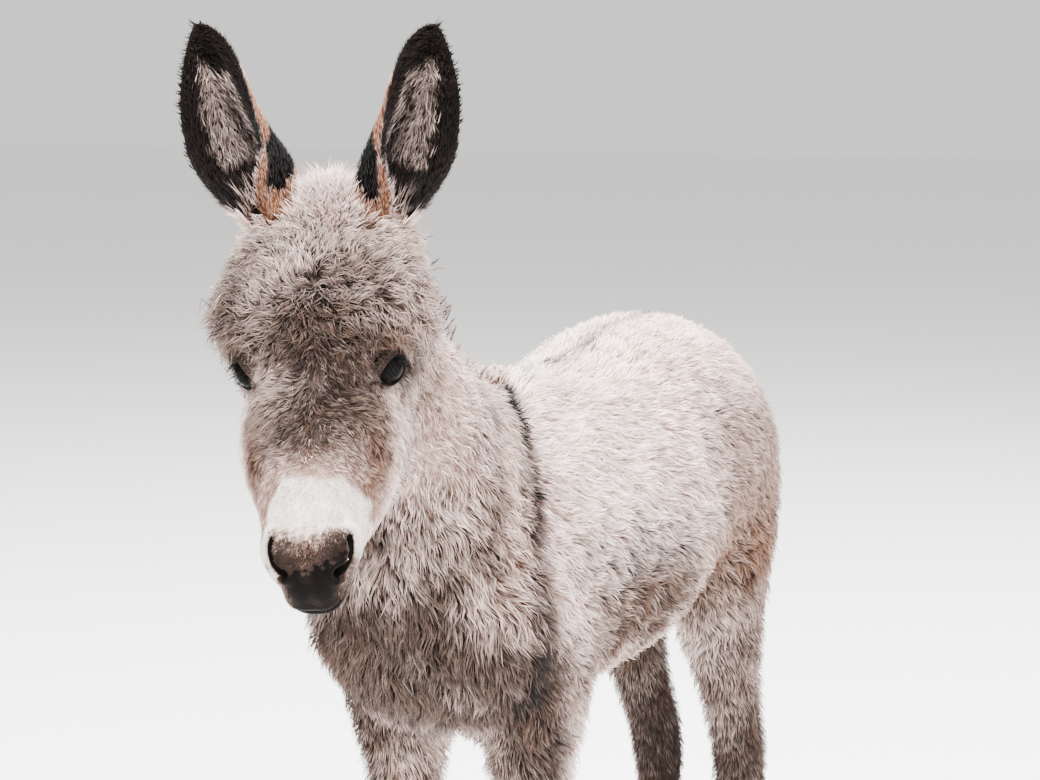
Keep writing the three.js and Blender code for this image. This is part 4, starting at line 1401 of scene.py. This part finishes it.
layers = [bodyLayer(kind) for kind in ("locks", "hairs")]
regions = [regionOf(roots) for _, roots in layers]
for number, name in enumerate(regionNames):
    picked = []
    for (grown, roots), where in zip(layers, regions):
        chosen = np.flatnonzero(where == number)
        grown["place"][chosen] = unroll(name, roots[chosen])
        picked.append((grown, chosen))
    coatPiece(name, picked, coatLook)

# The coat of the ears.
earHair = {
    # spacing, length, height over the skin and width
    "outside": (0.0018, 0.0070, 0.0022, 0.0011),
    "rim": (0.0016, 0.0080, 0.0032, 0.0009),
    "inside": (0.0022, 0.0170, 0.0085, 0.0011),
}


def earCoat(side):
    points, faces, up, rim, inside = ears[side]
    mesh = meshFrom("ear", points, faces, 4)
    axes = np.array(earMatrix(side))[:3, :3]
    tipward, across = axes[:, 2], axes[:, 0]
    layers = []
    for kind, rings in (("outside", 1), ("inside", 2)):
        within = kind == "inside"
        spacing = np.where(np.abs(rim) > 0.86, earHair["rim"][0], earHair[kind][0])
        elsewhere = ((inside > 0.5) != within) | (up < (0.0 if within else -0.06))
        roots, normals, corners, share = scatter(mesh, np.where(elsewhere, 1.0, spacing))
        count = len(roots)
        high, wayOut = ((values[corners] * share).sum(1) for values in (up, rim))
        nearRim = ease(np.abs(wayOut), 0.74, 0.92)
        long, tall, wide = (mix(*pair, nearRim) for pair in zip(earHair[kind][1:], earHair["rim"][1:]))
        fluff = ease(high, 0.16, 0.02)
        if not within:
            fluff = fluff * ease(wayOut * ear[side]["inward"], 0.2, -0.2)
        long = long * (1 + 0.9 * fluff) * between(high, [0, 0.8, 1], [1, 0.9, 0.6])
        long = long * dice.uniform(0.7, 1.2, count)
        tall = tall * (1 + 1.1 * fluff) * between(high, [0, 0.8, 1], [1, 0.8, 0.7])
        tall = tall * dice.uniform(0.6, 1.2, count)
        sides = np.sign(wayOut)[:, None] * across
        if within:
            lie = tipward * 0.9 - sides * (0.45 * ease(np.abs(wayOut), 0.2, 0.6) - 0.9 * nearRim)[:, None]
        else:
            lie = tipward + sides * 0.35 * nearRim[:, None]
        lie = lie + 0.22 * dice.normal(size=lie.shape)
        grown = growTufts(
            roots, normals, lie, long, tall, wide * dice.uniform(0.7, 1.3, count), 0.35 + 0.15 * within,
            plain(roots, 0.006), 0.12 * long, rings=rings)
        found = earMarks(roots, side, high, wayOut, plain(roots, float(within)))
        if within:  # the long hairs of the hollow are paler than its skin
            streaky = (0.30 + 0.30 * roughly(roots, 0.006, 71)) * (1 - found["dark"])
            found["pale"] = clamp(np.maximum(found["pale"], streaky * ease(high, 0.06, 0.24)))
            warm = 0.5 * ease(high, 0.16, 0.06) * roughly(roots, 0.010, 72)
            found["rust"] = clamp(found["rust"] + warm)
        tone = 0.4 * dice.normal(size=count) + 0.45 * roughly(roots[grown["lead"]], 0.005, 33)
        flat = np.stack([0.25 + 0.23 * wayOut + 0.5 * within, 0.02 + 0.94 * np.clip(high, -0.02, 1)], -1)
        layers.append((dressed(grown, found, tone, flat), np.arange(count)))
    bpy.data.meshes.remove(mesh)
    coatPiece(f"coat_ear_{side}", layers, coatLook)


for side in ("left", "right"):
    earCoat(side)

# The mane and the forelock.
mane = {
    "crest": [
        (0, -0.070, 0.772), (0, -0.1415, 0.794), (-0.004, -0.1965, 0.836), (-0.010, -0.2525, 0.894),
        (-0.016, -0.300, 0.937)],
    "wide": 0.015,
    "tall": ([0, 0.15, 0.4, 1], [0.020, 0.030, 0.040, 0.044]),
    "hairs": 3400,
}
forelock = {"centre": (0.001, 0.006, 0.030), "wide": 0.022, "hairs": 3600}


def pickRoots(chance, count):
    load = np.cumsum(chance)
    pick = np.searchsorted(load, dice.random(count) * load[-1])
    pick = np.minimum(pick, len(chance) - 1)
    jitter = dice.normal(size=(count, 3)) * 0.0012
    return bodyCoords[pick] + jitter, bodyNormals[pick]


def plainMasks(count, **values):
    return {name: np.full(count, values.get(name, 0.0)) for name in markNames}


def locks(grown, masks, flat):
    # tufts for one piece of long hair, each in its own tone
    count = len(flat)
    return dressed(grown, masks, 0.35 * dice.normal(size=count), flat), np.arange(count)


away = nearCurve(bodyCoords, mane["crest"])[0]
onTop = (bodyNormals[:, 2] > 0.15) | (bodyCoords[:, 1] > -0.3)
chance = bell(away, mane["wide"] * 0.6) * (away < mane["wide"] * 1.6) * onTop
roots, normals = pickRoots(chance, mane["hairs"])
count = len(roots)
along = nearCurve(roots, mane["crest"])[1]
tall = between(along, *mane["tall"]) * dice.uniform(0.7, 1.05, count)
lie = np.array([0, 0.55, 0.35]) + 0.35 * dice.normal(size=(count, 3))
lie[:, 0] += 12 * roots[:, 0]
grown = growTufts(
    roots, normals, lie, tall, tall * dice.uniform(0.80, 0.97, count), dice.uniform(0.0014, 0.0026, count),
    plain(roots, 0.55), plain(roots, 0.012), 0.06 * tall, rings=3)
forward = ease(along, 0.05, 0.45)
mottled = 0.15 + 0.35 * roughly(roots, 0.03, 41) + 0.25 * dice.normal(size=count)
masks = plainMasks(count, brown=0.15 + 0.40 * forward, dark=np.clip(mottled, 0, 0.8) * forward)
maneLayers = [locks(grown, masks, np.stack([0.5 + roots[:, 0] / 0.09, 0.02 + 0.6 * along], -1))]

centre = fromHead([forelock["centre"]])[0]
off = np.linalg.norm(bodyCoords - centre, axis=1)
roots, normals = pickRoots(bell(off, forelock["wide"]) * (off < forelock["wide"] * 2), forelock["hairs"])
count = len(roots)
off = np.linalg.norm(roots - centre, axis=1)
tall = (0.017 + 0.048 * bell(off, 0.020)) * dice.uniform(0.6, 1.1, count)
lie = (roots - centre) * 16 + np.array([0, 0.1, 0.4]) + 0.35 * dice.normal(size=(count, 3))
grown = growTufts(
    roots, unit(normals + np.array([0, -0.2, 1.2])), lie, tall, tall * dice.uniform(0.80, 0.96, count),
    dice.uniform(0.0007, 0.0013, count), plain(roots, 0.40), plain(roots, 0.008), 0.12 * tall, rings=2)
masks = {
    **bodyMarks(roots), "pale": plain(roots, 0.45), "rust": plain(roots, 0.14),
    "brown": 0.22 + 0.15 * roughly(roots, 0.012, 44)}
flat = np.stack([0.5 + (roots[:, 0] - centre[0]) / 0.16, 0.82 + (roots[:, 1] - centre[1]) / 0.5], -1)
maneLayers.append(locks(grown, masks, flat))
coatPiece("mane_hair", maneLayers, maneLook, ("mane", "forelock"))

# The tail brush.
brush = {
    "spine": [
        (0.003, 0.405, 0.715), (0.008, 0.4275, 0.672), (0.026, 0.4315, 0.575), (0.038, 0.4275, 0.485),
        (0.042, 0.4195, 0.400)],
    "rooted": 0.52,  # the share of the spine that hair grows on
    "end": 0.402,  # the height of the lowest tips
    "hairs": 3000,
}
count = brush["hairs"]
start = brush["rooted"] * dice.random(count) ** 0.8
spine = np.array(brush["spine"])


def onSpine(s):
    return np.stack([between(s, np.linspace(0, 1, len(spine)), spine[:, k]) for k in range(3)], -1)


turn = dice.uniform(0, 2 * np.pi, count)
out = np.stack([np.cos(turn), np.sin(turn), np.zeros(count)], -1)
roots = onSpine(start) + out * between(start, [0, 0.5], [0.013, 0.007])[:, None]
ahead = onSpine(start + 0.45) - onSpine(start)
long = np.linalg.norm(ahead, axis=1) * dice.uniform(0.55, 1.0, count)
long = np.maximum(np.minimum(long, roots[:, 2] - brush["end"]), 0.03)
lift = between(start, [0, 0.2, 0.55], [0.007, 0.010, 0.014]) * dice.uniform(0.5, 1.25, count)
lie = unit(ahead) + 0.05 * dice.normal(size=ahead.shape)
grown = growTufts(
    roots, out, lie, long, lift, dice.uniform(0.0013, 0.0024, count), plain(roots, 0.5),
    plain(roots, 0.016), 0.05 * long, rings=4, shape=1.0)
darker = between(start, [0, 0.15, 0.4], [0.15, 0.45, 0.75]) + 0.2 * dice.normal(size=count)
masks = plainMasks(count, brown=0.8, dark=clamp(darker))
brushHair = locks(grown, masks, np.stack([turn / (2 * np.pi), start / 0.55], -1))
coatPiece("tail_hair", [brushHair], maneLook, ("tail_brush",))

# Lashes, and the short hair of the lids.
lashes = {"each": 40, "length": 0.012, "hairSpacing": 0.0009, "hairLength": 0.0050}
lidLayers = []
for side in ("left", "right"):
    centre, axis, front, up = eyeAxes(side)
    half = 0.0 if side == "left" else 0.5
    count = lashes["each"]
    turn = np.linspace(0.25, np.pi - 0.2, count) + dice.normal(size=count) * 0.02
    angle = np.radians(lidOpening(turn) + 1.5)[:, None]
    flat = front * np.cos(turn)[:, None] + up * np.sin(turn)[:, None]
    way = axis * np.cos(angle) + flat * np.sin(angle)
    long = lashes["length"] * dice.uniform(0.7, 1.1, count)
    grown = growTufts(
        centre + way * eye["radius"] * 1.08, way, axis * 0.9 + flat * 0.25 - np.array([0, 0, 0.45]), long,
        long * 0.35, plain(way, 0.0006), 0.25, plain(way, 0.006), 0.03 * long, rings=3)
    place = np.stack([turn / np.pi * 0.45 + half, plain(way, 0.9)], -1)
    lidLayers.append((dressed(grown, plainMasks(count, dark=0.95), plain(way), place), np.arange(count)))

    points, faces, edge = lids[side]
    mesh = meshFrom("lid", points, faces, 4)
    roots, _, corners, share = scatter(mesh, np.where((edge < 6) | (edge > 30), 1.0, lashes["hairSpacing"]))
    bpy.data.meshes.remove(mesh)
    out = roots - centre
    out = unit(out - axis * (out @ axis)[:, None])
    on = (edge[corners] * share).sum(1)
    long = lashes["hairLength"] * between(on, [5, 12, 30], [0.6, 1.0, 1.5])
    long = long * dice.uniform(0.7, 1.2, len(roots))
    grown = growTufts(
        roots, unit(roots - centre), out + np.array([0, 0, -0.35]), long, long * 0.38,
        plain(roots, 0.0007), 0.2, plain(roots, 0.004), 0.1 * long, rings=1)
    place = np.stack([half + 0.25 + 8 * ((roots - centre) @ front), 0.4 + 8 * ((roots - centre) @ up)], -1)
    lidLayers.append(locks(grown, {**bodyMarks(roots), "dark": ease(10 - on, 0, 5)}, place))
coatPiece("lashes", lidLayers, coatLook)

# Eyeballs.
eyeLook = eyeMaterial()
for side in ("left", "right"):
    ball = makeEyeball(side, f"eyeball_{side}")
    ball.data.materials.append(eyeLook)
    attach(ball, "root")
    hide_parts(f"eye_{side}")

# Hooves.
hoofShape = {
    "voxel": 0.0016,
    "sole": 0.0022,  # what lies lower is made flat
    "top": 0.036,
    "growth": (0.00035, 0.0062),  # the height of the growth rings and the way from one to the next
}
hoofLook = hoofMaterial()
for node in [n for n in sorted(frame["nodes"]) if n.startswith("hoof_")]:
    source = link(bpy.data.objects.new("rough", frame["nodes"][node].data.copy()))
    remesh = source.modifiers.new("remesh", "REMESH")
    remesh.mode = "VOXEL"
    remesh.voxel_size = hoofShape["voxel"]
    mesh = bpy.data.meshes.new_from_object(source.evaluated_get(bpy.context.evaluated_depsgraph_get()))
    bpy.data.objects.remove(source)
    p = coordsOf(mesh)
    level = p[:, 2].copy()
    p = relax(mesh, p, 8, 0.5, keep=0.4)
    setCoords(mesh, p)
    high, step = hoofShape["growth"]
    ring = level + 0.1 * (p[:, 1] - p[:, 1].mean())
    ring = high * np.sin(2 * np.pi * ring / step) * ease(level, 0.003, 0.008)
    p = p + normalsOf(mesh) * (ring * ease(hoofShape["top"] - level, 0, 0.006))[:, None]
    p[:, 2] = np.where(level < hoofShape["sole"], 0, np.maximum(p[:, 2], 0))
    setCoords(mesh, p)
    smoothShade(mesh)
    mesh.name = node + "_wall"
    hoof = link(bpy.data.objects.new(node.replace("hoof_", "hoofwall_"), mesh))
    mesh.materials.clear()
    mesh.materials.append(hoofLook)
    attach(hoof, "root")
    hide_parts(node)
print("hooves done")

bpy.data.meshes.remove(bodyMesh)
for name in ("Cube", "Light", "Camera"):
    if name in bpy.data.objects:
        bpy.data.objects.remove(bpy.data.objects[name])

# Floor, light and camera.
studio = {
    "top": ((0.2, 0.0, 4.2), 1250, 3.4),
    "key": ((-1.2, -3.4, 3.4), 330, 2.6),
    "fill": ((3.6, -1.6, 2.6), 150, 3.0),
    "back": ((1.8, 3.4, 2.6), 190, 2.4),
}
floorMesh = meshFrom("floor", [(-30, -30, 0), (30, -30, 0), (30, 30, 0), (-30, 30, 0)], [(0, 1, 2, 3)], 4)
floorLook = Shader("floor", Roughness=0.9)
floorLook.set("Base Color", floorLook.blend(
    paint(0.975, 0.97, 0.965), paint(0.985, 0.98, 0.975), floorLook.noise(0.6)))
floorMesh.materials.append(floorLook.material)
floor = link(bpy.data.objects.new("floor", floorMesh))

world = bpy.data.worlds.new("studio")
world.use_nodes = True
sky = world.node_tree.nodes["Background"]
sky.inputs["Color"].default_value = (0.97, 0.955, 0.95, 1)
sky.inputs["Strength"].default_value = 1.1
bpy.context.scene.world = world
for name, (at, power, size) in studio.items():
    data = bpy.data.lights.new(name, "AREA")
    data.energy, data.size = power, size
    lamp = link(bpy.data.objects.new(name, data))
    lamp.location = at
    lamp.rotation_euler = (Vector((0, -0.1, 0.7)) - Vector(at)).to_track_quat("-Z", "Y").to_euler()

view = {"at": (1.00799, -1.99535, 1.03618), "turn": 27, "down": 7.2, "lens": 85}
lens = bpy.data.cameras.new("camera")
lens.lens, lens.sensor_width = view["lens"], 36
camera = link(bpy.data.objects.new("camera", lens))
camera.location = view["at"]
camera.rotation_euler = (math.radians(90 - view["down"]), 0, math.radians(view["turn"]))
bpy.context.scene.camera = camera
